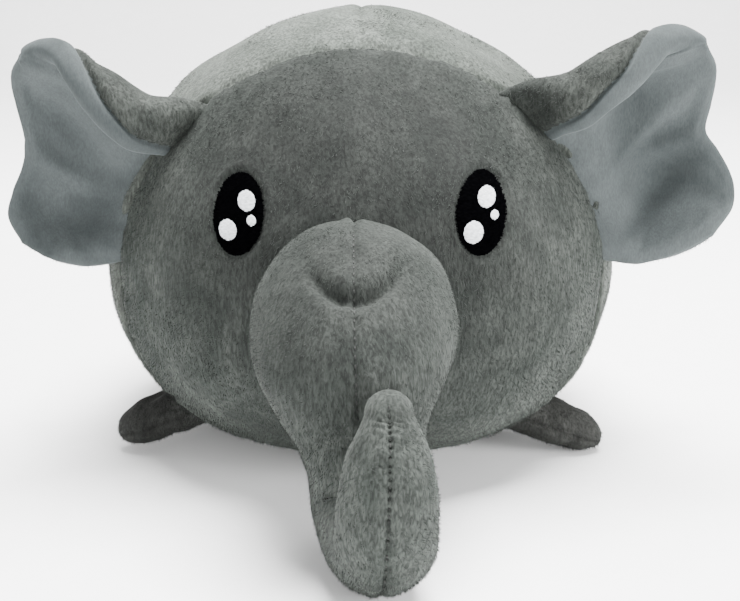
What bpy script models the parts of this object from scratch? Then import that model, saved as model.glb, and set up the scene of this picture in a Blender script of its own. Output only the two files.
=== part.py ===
"""Round stuffed elephant: sewn fabric panels over soft stuffing, in metres, +Z up, face towards -Y."""

import math

import bmesh
import bpy
from mathutils import Vector

# Body ---------------------------------------------------------------------------------------------
BODY_WIDTH = 0.240
BODY_DEPTH = 0.232
BODY_CROWN = 0.110  # widest level up to the top
BODY_BASE = 0.098  # widest level down to the lowest point before it is pressed flat
BODY_SQUASH = 0.004  # how much the base is pressed flat by the toy's weight
CROWN_POWER = 1.85  # below 2 the top comes to a soft peak
BASE_POWER = 2.5  # above 2 the lower half is fuller than a ball
SEAM_AHEAD = 0.049  # plane of the face panel's seam, ahead of the middle
BELLY_LEVEL = 0.014  # level of the belly panel's seam

# Cloth and gaps -----------------------------------------------------------------------------------
SKIN = 0.0024  # plush cloth with its pile
CLEARANCE = 0.0003
BODY_FILL_GAP = 0.0016  # cloth to stuffing, so that their flat facets stay apart
FILL_GAP = 0.0028
FILL_ROOT_GAP = 0.0026  # a flat end of stuffing to the round body that it faces

# Snout and trunk ----------------------------------------------------------------------------------
SNOUT_HEIGHT = 0.0885  # middle of the snout's root on the face
SNOUT_RADIUS = 0.0420
SNOUT_UNDERSIDE = 0.020  # half height of the snout below its middle line
SNOUT_REACH = 0.030  # how far the hanging part of the trunk stands ahead of the face
HANG_RADIUS = 0.0265
BEND_TUBE_RADIUS = 0.0205
BEND_RADIUS = 0.0235  # centre line of the bend at the floor
TIP_RADIUS = 0.0175
TIP_RISE = 0.0435  # the bend's end up to the tip
TIP_LEAN = 0.013  # the tip stands this far to the toy's own left
SWING_LEVEL = 0.051
SWING_LIMIT = math.radians(15)
UNCURL_LIMIT = math.radians(30)
CUT_START = 0.12  # where the cut begins, as the sine of the turn round the trunk
SWING_SPARE = math.radians(3)
UNCURL_SPARE = math.radians(10)  # the bend is not straight, so its cut opens wider

# Ears ---------------------------------------------------------------------------------------------
EAR_BOTTOM = 0.096
EAR_TOP = 0.192
EAR_ROOT_TOP = 0.158
EAR_REACH = 0.041  # the body's widest line to the ear's outer edge
EAR_NOTCH = 0.005
EAR_LAYER = 0.0020
EAR_BATTING = 0.0030
EAR_LAYER_GAP = 0.0009  # keeps the layers' flat facets apart in the curl
EAR_GAP = 0.0040  # leaves room for the ear to flap at its root
EAR_CURL_RADIUS = 0.0075
EAR_CURL_DROP = 0.014
EAR_DISH = 0.010

# Feet, tail, eyes and label -----------------------------------------------------------------------
FOOT_LENGTH = 0.035
FOOT_WIDTH = 0.021
FOOT_THICK = 0.0165
FOOT_FRONT_AHEAD = 0.041
FOOT_REAR_BEHIND = 0.050
FOOT_TILT = math.radians(22)
FOOT_END_LEVEL = 0.0038
TAIL_HEIGHT = 0.074
TAIL_LENGTH = 0.036
TAIL_RADIUS = 0.0062
TAIL_GAP = 0.0035
TUFT_RADIUS = 0.0085
TUFT_LENGTH = 0.018
EYE_SPACING = 0.0500  # the toy's middle to an eye's middle
EYE_HEIGHT = 0.1280
EYE_HALF_WIDTH = 0.0106
EYE_HALF_HEIGHT = 0.0150
EYE_LEAN = math.radians(6)
EYE_THREAD = 0.0009
HIGHLIGHT_THREAD = 0.0006
LABEL_SIZE = (0.018, 0.024)
LABEL_THICK = 0.0008

PLUSH = ("plush", (0.155, 0.168, 0.156), 0.95)
SMOOTH_PLUSH = ("ear_plush", (0.165, 0.180, 0.188), 0.85)
FOOT_PLUSH = ("foot_plush", (0.075, 0.077, 0.072), 0.95)
FILLING = ("filling", (0.80, 0.80, 0.78), 1.0)
BLACK_THREAD = ("black_thread", (0.012, 0.012, 0.013), 0.55)
WHITE_THREAD = ("white_thread", (0.72, 0.72, 0.70), 0.50)
SATIN = ("label_satin", (0.82, 0.82, 0.80), 0.45)


# Mesh helpers -------------------------------------------------------------------------------------
def material(finish):
    name, colour, roughness = finish
    made = bpy.data.materials.get(name)
    if made is None:
        made = bpy.data.materials.new(name)
        made.use_nodes = True
        shader = made.node_tree.nodes["Principled BSDF"]
        shader.inputs["Base Color"].default_value = (*colour, 1.0)
        shader.inputs["Roughness"].default_value = roughness
        shader.inputs["Metallic"].default_value = 0.0
    return made


def finish_object(name, mesh_data, finish, pivot=None):
    """Makes the object, and hangs it on its pivot empty when it has one."""
    recalculated = bmesh.new()
    recalculated.from_mesh(mesh_data)
    bmesh.ops.recalc_face_normals(recalculated, faces=recalculated.faces)
    if recalculated.calc_volume(signed=True) < 0:
        bmesh.ops.reverse_faces(recalculated, faces=recalculated.faces)
    bmesh.ops.triangulate(recalculated, faces=recalculated.faces)
    recalculated.to_mesh(mesh_data)
    recalculated.free()
    mesh_data.shade_smooth()
    mesh_data.set_sharp_from_angle(angle=math.radians(50))
    mesh_data.materials.append(material(finish))
    made = bpy.data.objects.new(name, mesh_data)
    bpy.context.scene.collection.objects.link(made)
    if pivot is not None:
        mesh_data.transform(pivot.matrix_world.inverted())
        made.parent = pivot
    return made


def pivot_at(name, place):
    empty = bpy.data.objects.new(name, None)
    bpy.context.scene.collection.objects.link(empty)
    empty.location = place
    bpy.context.view_layer.update()
    return empty


def strip(faces, low, high, closed):
    """Faces between two rows of vertex numbers. A row of one number is a pole."""
    count = max(len(low), len(high))
    for i in range(count if closed else count - 1):
        j = (i + 1) % count
        if len(low) == 1:
            faces.append((low[0], high[i], high[j]))
        elif len(high) == 1:
            faces.append((low[i], high[0], low[j]))
        else:
            faces.append((low[i], high[i], high[j], low[j]))


def numbered(points, rows):
    """Adds rows of points to the list and returns the same rows as vertex numbers."""
    found = []
    for row in rows:
        found.append(list(range(len(points), len(points) + len(row))))
        points.extend(row)
    return found


def solid_from_rows(name, rows, finish, pivot=None):
    """A closed body from rings, the first and last of which are single points."""
    points, faces = [], []
    numbers = numbered(points, rows)
    for low, high in zip(numbers, numbers[1:]):
        strip(faces, low, high, closed=True)
    made = bpy.data.meshes.new(name)
    made.from_pydata(points, [], faces)
    return finish_object(name, made, finish, pivot)


def wall_from_rows(name, outer_rows, inner_rows, finish, pivot=None, closed=False):
    """A closed wall between two matching grids of points, with its edges joined."""
    points, faces = [], []
    outer = numbered(points, outer_rows)
    inner = numbered(points, inner_rows)
    for grid in (outer, inner):
        for low, high in zip(grid, grid[1:]):
            strip(faces, low, high, closed)
    for end in (0, -1):
        if len(outer[end]) > 1:
            strip(faces, outer[end], inner[end], closed)
    if not closed:
        for side in (0, -1):
            edge = [(outer[k][side], inner[k][side]) for k in range(len(outer))]
            for (a, b), (c, d) in zip(edge, edge[1:]):
                corners = list(dict.fromkeys((a, b, d, c)))
                faces.append(tuple(corners))
    made = bpy.data.meshes.new(name)
    made.from_pydata(points, [], faces)
    return finish_object(name, made, finish, pivot)


def solve(test, low, high, steps=40):
    """The place between low and high up to which test holds."""
    for _ in range(steps):
        middle = (low + high) / 2
        if test(middle):
            low = middle
        else:
            high = middle
    return low


# Body ---------------------------------------------------------------------------------------------
WAIST = BODY_BASE - BODY_SQUASH  # widest level above the floor


def body_point(direction, inset=0.0):
    """Where a ray from the middle of the widest level leaves the body."""
    half_width, half_depth = BODY_WIDTH / 2 - inset, BODY_DEPTH / 2 - inset
    high = direction.z > 0
    reach = (BODY_CROWN if high else BODY_BASE) - inset
    power = CROWN_POWER if high else BASE_POWER
    flat = (direction.x / half_width) ** 2 + (direction.y / half_depth) ** 2
    size = (flat ** (power / 2) + abs(direction.z / reach) ** power) ** (-1 / power)
    found = direction * size + Vector((0, 0, WAIST))
    found.z = max(found.z, inset)
    return found


def body_front(x, z, inset=0.0):
    """How far ahead the body reaches at this width and height."""
    half_width, half_depth = BODY_WIDTH / 2 - inset, BODY_DEPTH / 2 - inset
    high = z > WAIST
    reach = (BODY_CROWN if high else BODY_BASE) - inset
    power = CROWN_POWER if high else BASE_POWER
    flat = max(0.0, 1 - abs((z - WAIST) / reach) ** power) ** (2 / power)
    return -half_depth * math.sqrt(max(0.0, flat - (x / half_width) ** 2))


def body_side(y, z, inset=0.0):
    """How far to the side the body reaches at this depth and height."""
    half_width, half_depth = BODY_WIDTH / 2 - inset, BODY_DEPTH / 2 - inset
    high = z > WAIST
    reach = (BODY_CROWN if high else BODY_BASE) - inset
    power = CROWN_POWER if high else BASE_POWER
    flat = max(0.0, 1 - abs((z - WAIST) / reach) ** power) ** (2 / power)
    return half_width * math.sqrt(max(0.0, flat - (y / half_depth) ** 2))


def body_level(rise, turn, inset):
    """A point of the body's wall. rise is an angle, 0 at the widest level and a quarter turn at the
    crown, and turn goes round from the back, 0, to the front, a half turn."""
    reach = (BODY_CROWN if rise > 0 else BODY_BASE) - inset
    power = CROWN_POWER if rise > 0 else BASE_POWER
    width = max(0.0, 1 - abs(math.sin(rise)) ** power) ** (1 / power)
    return Vector((
        (BODY_WIDTH / 2 - inset) * width * math.sin(turn),
        (BODY_DEPTH / 2 - inset) * width * math.cos(turn),
        WAIST + reach * math.sin(rise),
    ))


def panel_rises(inset, seam, below=11, above=6):
    """The rises of the rows of panels below and above the top of the face's seam."""
    lowest = math.asin((BELLY_LEVEL - WAIST) / (BODY_BASE - inset))
    top = solve(lambda rise: body_level(rise, math.pi, inset).y <= -seam, 0.0, math.pi / 2)
    lower = [lowest + (top - lowest) * (1 - (1 - k / below) ** 1.5) for k in range(below + 1)]
    upper = [top + (math.pi / 2 - top) * k / above for k in range(1, above + 1)]
    return lower, upper


def seam_turn(rise, inset, seam):
    """How far round from the back the face's seam is at this rise."""
    return solve(lambda turn: body_level(rise, turn, inset).y >= -seam, 0.0, math.pi)


def make_face_panel(count=22):
    seam = SEAM_AHEAD + CLEARANCE / 2

    def rows(inset):
        lower, _ = panel_rises(inset, seam)
        found = []
        for rise in lower:
            edge = seam_turn(rise, inset, seam)
            turns = [edge + (2 * math.pi - 2 * edge) * i / count for i in range(count + 1)]
            found.append([body_level(rise, turn, inset) for turn in turns])
        found[-1] = [body_level(lower[-1], math.pi, inset)]
        return found

    wall_from_rows("face_panel", rows(0.0), rows(SKIN), PLUSH)


def make_back_panel(side, name, count=16):
    seam = SEAM_AHEAD - CLEARANCE / 2

    def rows(inset):
        lower, upper = panel_rises(inset, seam)
        found = []
        for rise in lower + upper:
            edge = seam_turn(rise, inset, seam)
            row = [body_level(rise, edge * i / count, inset) for i in range(count + 1)]
            for place in row:
                place.x = side * max(place.x, CLEARANCE / 2)
            found.append(row)
        found[-1] = found[-1][:1]
        return found

    wall_from_rows(name, rows(0.0), rows(SKIN), PLUSH)


def belly_rows(inset, rings=5, count=32):
    """The base's underside, from its middle out to the belly seam."""
    rows = []
    top = BELLY_LEVEL - CLEARANCE
    for ring in range(rings + 1):
        row = []
        for i in range(count):
            turn = 2 * math.pi * i / count
            flat = Vector((math.cos(turn), math.sin(turn), 0))

            def below(a, flat=flat):
                return body_point(flat * math.sin(a) - Vector((0, 0, math.cos(a))), inset).z <= top

            angle = solve(below, 0.0, math.pi / 2) * ring / rings
            row.append(body_point(flat * math.sin(angle) - Vector((0, 0, math.cos(angle))), inset))
        rows.append(row[:1] if ring == 0 else row)
    return rows


def make_belly_panel():
    wall_from_rows("belly_panel", belly_rows(0.0), belly_rows(SKIN), PLUSH, closed=True)


def make_body_stuffing():
    inset = SKIN + BODY_FILL_GAP
    rows = [[body_point(Vector((0, 0, 1)), inset)]]
    levels, count = 13, 28
    for level in range(1, levels):
        tilt = math.pi * level / levels
        rows.append([
            body_point(
                Vector((
                    math.sin(tilt) * math.cos(2 * math.pi * i / count),
                    math.sin(tilt) * math.sin(2 * math.pi * i / count),
                    math.cos(tilt),
                )),
                inset,
            )
            for i in range(count)
        ])
    rows.append([body_point(Vector((0, 0, -1)), inset)])
    solid_from_rows("body_stuffing", rows, FILLING)


# Snout and trunk ----------------------------------------------------------------------------------
FACE_AHEAD = -body_front(0, SNOUT_HEIGHT)
HANG_AHEAD = FACE_AHEAD + SNOUT_REACH
BEND_LEVEL = BEND_RADIUS + BEND_TUBE_RADIUS + CLEARANCE
BEND_AHEAD = HANG_AHEAD + BEND_RADIUS
RISE_AHEAD = BEND_AHEAD + BEND_RADIUS


def trunk_stations():
    """(side, ahead, level, width, front, rear) along the trunk's centre line, from inside the face to
    the tip. The last three are half widths: to the sides, towards the front seam and away from it."""
    half = BEND_RADIUS * math.sin(math.pi / 4)
    below = BEND_LEVEL - half

    def round_at(side, ahead, level, radius):
        return (side, ahead, level, radius, radius, radius)

    snout = SNOUT_RADIUS
    return [
        (0.0, FACE_AHEAD - 0.016, SNOUT_HEIGHT, snout * 0.97, snout * 0.97, SNOUT_UNDERSIDE),
        (0.0, FACE_AHEAD + 0.004, SNOUT_HEIGHT - 0.002, snout, snout, SNOUT_UNDERSIDE),
        (0.0, HANG_AHEAD - 0.007, SNOUT_HEIGHT - 0.014, snout * 0.90, snout * 0.92, SNOUT_UNDERSIDE),
        (0.0, HANG_AHEAD, SWING_LEVEL, HANG_RADIUS, HANG_RADIUS, HANG_RADIUS * 0.94),
        round_at(TIP_LEAN * 0.15, HANG_AHEAD + BEND_RADIUS - half, below, BEND_TUBE_RADIUS * 1.06),
        round_at(TIP_LEAN * 0.40, BEND_AHEAD, BEND_LEVEL - BEND_RADIUS, BEND_TUBE_RADIUS),
        round_at(TIP_LEAN * 0.62, RISE_AHEAD - BEND_RADIUS + half, below, BEND_TUBE_RADIUS * 0.95),
        round_at(TIP_LEAN * 0.80, RISE_AHEAD, BEND_LEVEL + 0.004, TIP_RADIUS),
        round_at(TIP_LEAN * 0.95, RISE_AHEAD - 0.001, BEND_LEVEL + TIP_RISE * 0.50, TIP_RADIUS * 0.80),
        round_at(TIP_LEAN, RISE_AHEAD - 0.004, BEND_LEVEL + TIP_RISE * 0.82, TIP_RADIUS * 0.55),
    ]


STATIONS = trunk_stations()
SWING_AT, UNCURL_AT, TIP_AT = 3, 5, 9


def spline(values, place):
    """A smooth curve through the values, read at a place counted in stations."""
    last = len(values) - 1
    k = min(int(place), last - 1)
    t = place - k
    a, b, c, d = (values[min(max(i, 0), last)] for i in (k - 1, k, k + 1, k + 2))
    square = 2 * a - 5 * b + 4 * c - d
    cube = 3 * b - a - 3 * c + d
    return 0.5 * (2 * b + (c - a) * t + square * t**2 + cube * t**3)


def trunk_centre(place):
    side, ahead, level = (spline([s[i] for s in STATIONS], place) for i in range(3))
    return Vector((side, -ahead, level))


def trunk_point(place, turn, inset=0.0, half=0):
    """A point on the trunk. turn is 0 on its +X side and a quarter turn on its upper, front side.
    half is 1 or -1 for a point that has to stay on one side of the centre seam."""
    step = 0.02
    ahead = min(place + step, TIP_AT)
    along = (trunk_centre(ahead) - trunk_centre(ahead - 2 * step)).normalized()
    front = along.cross(Vector((1, 0, 0))).normalized()
    across = front.cross(along).normalized()
    width, to_front, to_rear = (spline([s[i] for s in STATIONS], place) - inset for i in (3, 4, 5))
    sideways = width * math.cos(turn)
    if half:
        sideways = half * max(half * sideways, CLEARANCE / 2)
    frontways = (to_front if math.sin(turn) > 0 else to_rear) * math.sin(turn)
    return trunk_centre(place) + across * sideways + front * frontways


def place_along(station, turn, inset, closing):
    """Where a link has to stop on this line, so that the next one can turn at the station.
    closing gives the slope of the cut at each turn round the trunk."""
    pivot = trunk_centre(station)
    along = (trunk_centre(station + 0.01) - trunk_centre(station - 0.01)).normalized()
    radius = spline([s[3] for s in STATIONS], station) - inset
    height = CLEARANCE * 2 + radius * closing(turn)

    def before(place):
        return (pivot - trunk_point(place, turn, inset)).dot(along) >= height

    return solve(before, station - 2.0, station)


def swing_cut(turn):
    return abs(math.cos(turn)) * math.tan(SWING_LIMIT + SWING_SPARE)


def uncurl_cut(turn):
    return max(0.0, CUT_START - math.sin(turn)) * math.tan(UNCURL_LIMIT + UNCURL_SPARE)


def root_place(turn, inset):
    """Where this line of the snout leaves the face. The stuffing stops short of the skin's edge."""
    gap = CLEARANCE * 2 if inset <= SKIN else FILL_ROOT_GAP

    def inside(place):
        p = trunk_point(place, turn, inset)
        return p.y >= body_front(p.x, p.z) - gap

    return solve(inside, 0.0, 2.0)


def link_rows(starts, ends, turns, inset, half, rows):
    """Rows of trunk points, each line running from its own start to its own end."""
    return [
        [
            trunk_point(start + (end - start) * k / rows, turn, inset, half)
            for start, end, turn in zip(starts, ends, turns)
        ]
        for k in range(rows + 1)
    ]


def half_turns(half, count=12):
    """From the front seam round one side to the rear seam."""
    return [math.pi / 2 - half * math.pi * i / count for i in range(count + 1)]


def link_ends(station, turns, inset, cut):
    return [place_along(station, turn, inset, cut) for turn in turns]


def make_link(name, start_of, end_of, rows, pivot=None):
    """One link of the trunk: a left and a right skin over its own stuffing."""
    for half, side in ((-1, "right"), (1, "left")):
        turns = half_turns(half)
        outer, inner = (
            link_rows(start_of(turns, inset), end_of(turns, inset), turns, inset, half, rows)
            for inset in (0.0, SKIN)
        )
        wall_from_rows(f"{name}_skin_{side}", outer, inner, PLUSH, pivot)
    turns = [2 * math.pi * i / 20 for i in range(20)]
    inset = SKIN + FILL_GAP
    starts, ends = start_of(turns, inset), end_of(turns, inset)
    grid = link_rows(starts, ends, turns, inset, 0, rows)
    first = sum(grid[0], Vector()) / len(turns)
    if name == "snout":
        first.y = body_front(first.x, first.z) - FILL_ROOT_GAP
    last = trunk_centre(max(ends)) if max(ends) < TIP_AT else None
    if last is None:
        grid[-1] = [sum(grid[-1], Vector()) / len(turns)]
        solid_from_rows(f"{name}_stuffing", [[first], *grid], FILLING, pivot)
    else:
        solid_from_rows(f"{name}_stuffing", [[first], *grid, [last]], FILLING, pivot)


def make_snout():
    make_link(
        "snout",
        lambda turns, inset: [root_place(t, inset) for t in turns],
        lambda turns, inset: link_ends(SWING_AT, turns, inset, swing_cut),
        rows=6,
    )


def make_trunk(pivot):
    make_link(
        "trunk",
        lambda turns, inset: [SWING_AT for _ in turns],
        lambda turns, inset: link_ends(UNCURL_AT, turns, inset, uncurl_cut),
        rows=8,
        pivot=pivot,
    )


def rounded_tip_rows(turns, inset, half):
    """The rising end of the trunk with its rounded tip."""
    rows = link_rows([UNCURL_AT] * len(turns), [TIP_AT] * len(turns), turns, inset, half, 9)
    centre = trunk_centre(TIP_AT)
    along = (centre - trunk_centre(TIP_AT - 0.04)).normalized()
    radius = spline([s[3] for s in STATIONS], TIP_AT) - inset
    rim = rows[-1]
    for angle in (math.radians(30), math.radians(60)):
        apart = Vector((half * CLEARANCE / 2 * (1 - math.cos(angle)), 0, 0))
        cap = centre + along * radius * math.sin(angle) + apart
        rows.append([cap + (p - centre) * math.cos(angle) for p in rim])
    pole = centre + along * radius + Vector((half * CLEARANCE / 2, 0, 0))
    rows.append([pole])
    return rows


def make_trunk_tip(pivot):
    for half, side in ((-1, "right"), (1, "left")):
        turns = half_turns(half)
        outer, inner = (rounded_tip_rows(turns, inset, half) for inset in (0.0, SKIN))
        wall_from_rows(f"trunk_tip_skin_{side}", outer, inner, PLUSH, pivot)
    turns = [2 * math.pi * i / 20 for i in range(20)]
    rows = rounded_tip_rows(turns, SKIN + FILL_GAP, 0)
    first = sum(rows[0], Vector()) / len(turns)
    solid_from_rows("trunk_tip_stuffing", [[first], *rows], FILLING, pivot)


# Ears ---------------------------------------------------------------------------------------------
def smooth(t):
    return t * t * (3 - 2 * t)


def ear_outline(s, t):
    """(side, level) of the flat part of an ear, s from root to outer edge, t from bottom to ridge."""
    root_level = EAR_BOTTOM + (EAR_ROOT_TOP - EAR_BOTTOM) * t
    root_side = body_side(SEAM_AHEAD, root_level) + EAR_GAP
    height = EAR_TOP - EAR_CURL_RADIUS - EAR_BOTTOM
    bulge = math.sin(math.pi * t) ** 0.5
    notch = EAR_NOTCH * math.exp(-(((t - 0.55) / 0.15) ** 2))
    edge_side = BODY_WIDTH / 2 + EAR_REACH - 0.012 * (1 - bulge) - notch
    edge_level = EAR_BOTTOM + 0.012 + (height - 0.014) * t
    swell = math.sin(math.pi * s) * (0.010 * (t - 0.5) * 2 if t > 0.5 else 0.006 * (t - 0.5) * 2)
    side = root_side + (edge_side - root_side) * s
    level = root_level + (edge_level - root_level) * smooth(min(1.0, s * 1.15)) + swell
    return side, level


def ear_middle(s, t):
    """A point on the ear's middle sheet. Past t = 1 the sheet curls forward and down."""
    flat = min(t, 1.0)
    side, level = ear_outline(s, flat)
    dish = EAR_DISH * math.sin(math.pi * flat) * math.sin(math.pi * min(1.0, s * 0.8))
    place = Vector((side, -SEAM_AHEAD + dish, level))
    if t > 1.0:
        before_side, before_level = ear_outline(s, 0.98)
        up = Vector((side - before_side, 0, level - before_level)).normalized()
        turned = math.radians(160) - math.radians(95) * s
        drop = EAR_CURL_DROP * (1 - s)
        arc = EAR_CURL_RADIUS * turned
        run = (t - 1.0) * (arc + drop)
        angle = min(run, arc) / EAR_CURL_RADIUS
        forward = Vector((0, -1, 0))
        place = place + up * EAR_CURL_RADIUS * math.sin(angle)
        place = place + forward * EAR_CURL_RADIUS * (1 - math.cos(angle))
        beyond = max(0.0, run - arc)
        place = place + (up * math.cos(turned) + forward * math.sin(turned)) * beyond
    return place


def ear_sheet(lift, side, s_steps=8, t_steps=7, curl_steps=6):
    """A grid at this height over the middle sheet, positive on the inner, forward face."""
    rows = []
    heights = [i / t_steps for i in range(t_steps + 1)]
    heights += [1 + (i + 1) / curl_steps for i in range(curl_steps)]
    for i in range(s_steps + 1):
        s = i / s_steps
        row = []
        for t in heights:
            a, b = max(0.0, s - 0.02), min(1.0, s + 0.02)
            across = ear_middle(b, t) - ear_middle(a, t)
            c, d = max(0.0, t - 0.02), min(2.0, t + 0.02)
            upward = ear_middle(s, d) - ear_middle(s, c)
            normal = across.cross(upward).normalized()
            place = ear_middle(s, t) + normal * lift
            if i == 0:
                clear = body_side(min(0.0, place.y), place.z) + EAR_GAP
                place.x = max(place.x, clear)
            row.append(Vector((side * place.x, place.y, place.z)))
        rows.append(row)
    return rows


def ear_axis():
    """A point on an ear's hinge line and the line's direction, on the +X side."""
    low = Vector((body_side(SEAM_AHEAD, EAR_BOTTOM), -SEAM_AHEAD, EAR_BOTTOM))
    high = Vector((body_side(SEAM_AHEAD, EAR_ROOT_TOP), -SEAM_AHEAD, EAR_ROOT_TOP))
    level = (EAR_BOTTOM + EAR_ROOT_TOP) / 2
    middle = Vector((body_side(SEAM_AHEAD, level) + EAR_GAP, -SEAM_AHEAD, level))
    return middle, (high - low).normalized()


def make_ear(side, name):
    middle, _ = ear_axis()
    pivot = pivot_at(f"{name}_pivot", (side * middle.x, middle.y, middle.z))
    half = EAR_BATTING / 2
    layers = (
        ("inner", half + EAR_LAYER_GAP, half + EAR_LAYER_GAP + EAR_LAYER, SMOOTH_PLUSH),
        ("batting", -half, half, FILLING),
        ("outer", -half - EAR_LAYER_GAP - EAR_LAYER, -half - EAR_LAYER_GAP, PLUSH),
    )
    for layer, low, high, finish in layers:
        wall_from_rows(f"{name}_{layer}", ear_sheet(high, side), ear_sheet(low, side), finish, pivot)


# Feet ---------------------------------------------------------------------------------------------
def foot_point(side, y, along, turn, inset):
    """A point on a foot: along runs from 0 at the body to 1 at its rounded end."""
    reach = FOOT_LENGTH - inset
    run = reach * (1 - max(0.0, 1 - along) ** 1.6)
    share = max(0.0, 1 - max(0.0, run / reach) ** 3.2) ** 0.5
    wide = (FOOT_WIDTH / 2 - inset) * share * math.cos(turn)
    thick = (FOOT_THICK / 2 - inset) * share * math.sin(turn)
    rise = (reach - run) * math.sin(FOOT_TILT)
    root = body_side(y, FOOT_END_LEVEL + FOOT_LENGTH * math.sin(FOOT_TILT))
    out = root + run * math.cos(FOOT_TILT) + thick * math.sin(FOOT_TILT)
    level = FOOT_END_LEVEL + rise + thick * math.cos(FOOT_TILT)
    return Vector((side * out, y + wide, max(level, inset + CLEARANCE)))


def foot_rows(side, y, turns, inset, seam=0.0):
    """Rings from where the foot leaves the body to its end."""
    rows, steps = [], 7

    def start(turn):
        def inside(a):
            p = foot_point(side, y, a, turn, inset)
            return abs(p.x) <= body_side(p.y, p.z) + CLEARANCE

        return solve(inside, -0.4, 0.9)

    starts = [start(turn) for turn in turns]
    for k in range(steps + 1):
        row = []
        for turn, first in zip(turns, starts):
            place = foot_point(side, y, first + (1 - first) * k / steps, turn, inset)
            place.z += seam
            row.append(place)
        rows.append(row if k < steps else row[:1])
    return rows


def make_foot(name, side, y):
    for half, part in ((1, "upper"), (-1, "lower")):
        turns = [half * math.pi * i / 8 for i in range(9)]
        seam = half * CLEARANCE / 2
        outer, inner = (foot_rows(side, y, turns, inset, seam) for inset in (0.0, SKIN))
        wall_from_rows(f"{name}_{part}", outer, inner, FOOT_PLUSH)
    turns = [2 * math.pi * i / 14 for i in range(14)]
    rows = foot_rows(side, y, turns, SKIN + FILL_GAP)
    first = sum(rows[0], Vector()) / len(turns)
    solid_from_rows(f"{name}_stuffing", [[first], *rows], FILLING)


# Tail ---------------------------------------------------------------------------------------------
def tail_root():
    """Where the tail's line leaves the back."""
    return Vector((0, -body_front(0, TAIL_HEIGHT) + TAIL_GAP + TAIL_RADIUS, TAIL_HEIGHT))


def tail_ring(run, radius, count):
    """A ring of the tail, which leaves the back and droops."""
    droop = math.radians(58)
    along = Vector((0, math.cos(droop), -math.sin(droop)))
    across = Vector((1, 0, 0))
    front = along.cross(across)
    return [
        tail_root() + along * run
        + across * radius * math.cos(2 * math.pi * i / count)
        + front * radius * math.sin(2 * math.pi * i / count)
        for i in range(count)
    ]


def make_tail():
    pivot = pivot_at("tail_pivot", tail_root())
    count = 12
    runs = (0.0, TAIL_LENGTH * 0.35, TAIL_LENGTH * 0.7, TAIL_LENGTH)
    radii = (TAIL_RADIUS, TAIL_RADIUS * 0.9, TAIL_RADIUS * 0.82, TAIL_RADIUS * 0.78)
    wall = SKIN / 2
    outer = [tail_ring(run, radius, count) for run, radius in zip(runs, radii)]
    inner = [tail_ring(run, radius - wall, count) for run, radius in zip(runs, radii)]
    wall_from_rows("tail_skin", outer, inner, PLUSH, pivot, closed=True)
    core = [tail_ring(run, radius - wall - CLEARANCE, count) for run, radius in zip(runs, radii)]
    ends = [[sum(ring, Vector()) / count] for ring in (core[0], core[-1])]
    solid_from_rows("tail_stuffing", [ends[0], *core, ends[1]], FILLING, pivot)
    start = TAIL_LENGTH + CLEARANCE
    tuft = [
        tail_ring(start + TUFT_LENGTH * share, TUFT_RADIUS * width, count)
        for share, width in ((0.0, 0.5), (0.2, 0.85), (0.5, 1.0), (0.8, 0.7))
    ]
    first = sum(tuft[0], Vector()) / count
    last = sum(tail_ring(start + TUFT_LENGTH, TUFT_RADIUS, count), Vector()) / count
    solid_from_rows("tail_tuft", [[first], *tuft, [last]], FOOT_PLUSH, pivot)


# Eyes ---------------------------------------------------------------------------------------------
def on_face(x, z, lift):
    return Vector((x, body_front(x, z) - lift, z))


def eye_patch(name, centre, half_width, half_height, lean, low, high, finish, rings, count):
    """A thin oval of thread that follows the face between two heights over it."""

    def rows(lift):
        found = []
        for ring in range(rings + 1):
            share = ring / rings
            row = []
            for i in range(count):
                turn = 2 * math.pi * i / count
                across = half_width * share * math.cos(turn)
                upward = half_height * share * math.sin(turn)
                x = centre[0] + across * math.cos(lean) + upward * math.sin(lean)
                z = centre[1] - across * math.sin(lean) + upward * math.cos(lean)
                row.append(on_face(x, z, lift))
            found.append(row[:1] if ring == 0 else row)
        return found

    wall_from_rows(name, rows(high), rows(low), finish, closed=True)


def make_eye(side, name):
    centre = (side * EYE_SPACING, EYE_HEIGHT)
    lean = -side * EYE_LEAN * 0.5
    base = CLEARANCE * 1.5
    top = base + EYE_THREAD
    size = (EYE_HALF_WIDTH, EYE_HALF_HEIGHT)
    eye_patch(f"{name}_black", centre, *size, lean, base, top, BLACK_THREAD, 3, 28)
    highlights = (
        ("upper", 0.30, 0.38, 0.36),
        ("lower", -0.36, -0.38, 0.38),
        ("small", 0.52, -0.06, 0.17),
    )
    for part, across, upward, share in highlights:
        place = (centre[0] + EYE_HALF_WIDTH * across, centre[1] + EYE_HALF_HEIGHT * upward)
        radius = EYE_HALF_WIDTH * share
        low = top + CLEARANCE
        eye_patch(
            f"{name}_highlight_{part}", place, radius, radius, 0.0,
            low, low + HIGHLIGHT_THREAD, WHITE_THREAD, 2, 14,
        )


# Label --------------------------------------------------------------------------------------------
def make_care_label():
    """A blank label that hangs from the rear panels' seam, clear of the back."""
    width, height = LABEL_SIZE
    level = BELLY_LEVEL + height + 0.004
    rows = []
    for lift in (CLEARANCE * 4, CLEARANCE * 4 + LABEL_THICK):
        grid = []
        for k in range(4):
            z = level - height * k / 3
            stand_off = lift + 0.0015 * k
            grid.append([
                Vector((width * (i / 3 - 0.5), -body_front(width * (i / 3 - 0.5), z) + stand_off, z))
                for i in range(4)
            ])
        rows.append(grid)
    wall_from_rows("care_label", rows[1], rows[0], SATIN)


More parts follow.
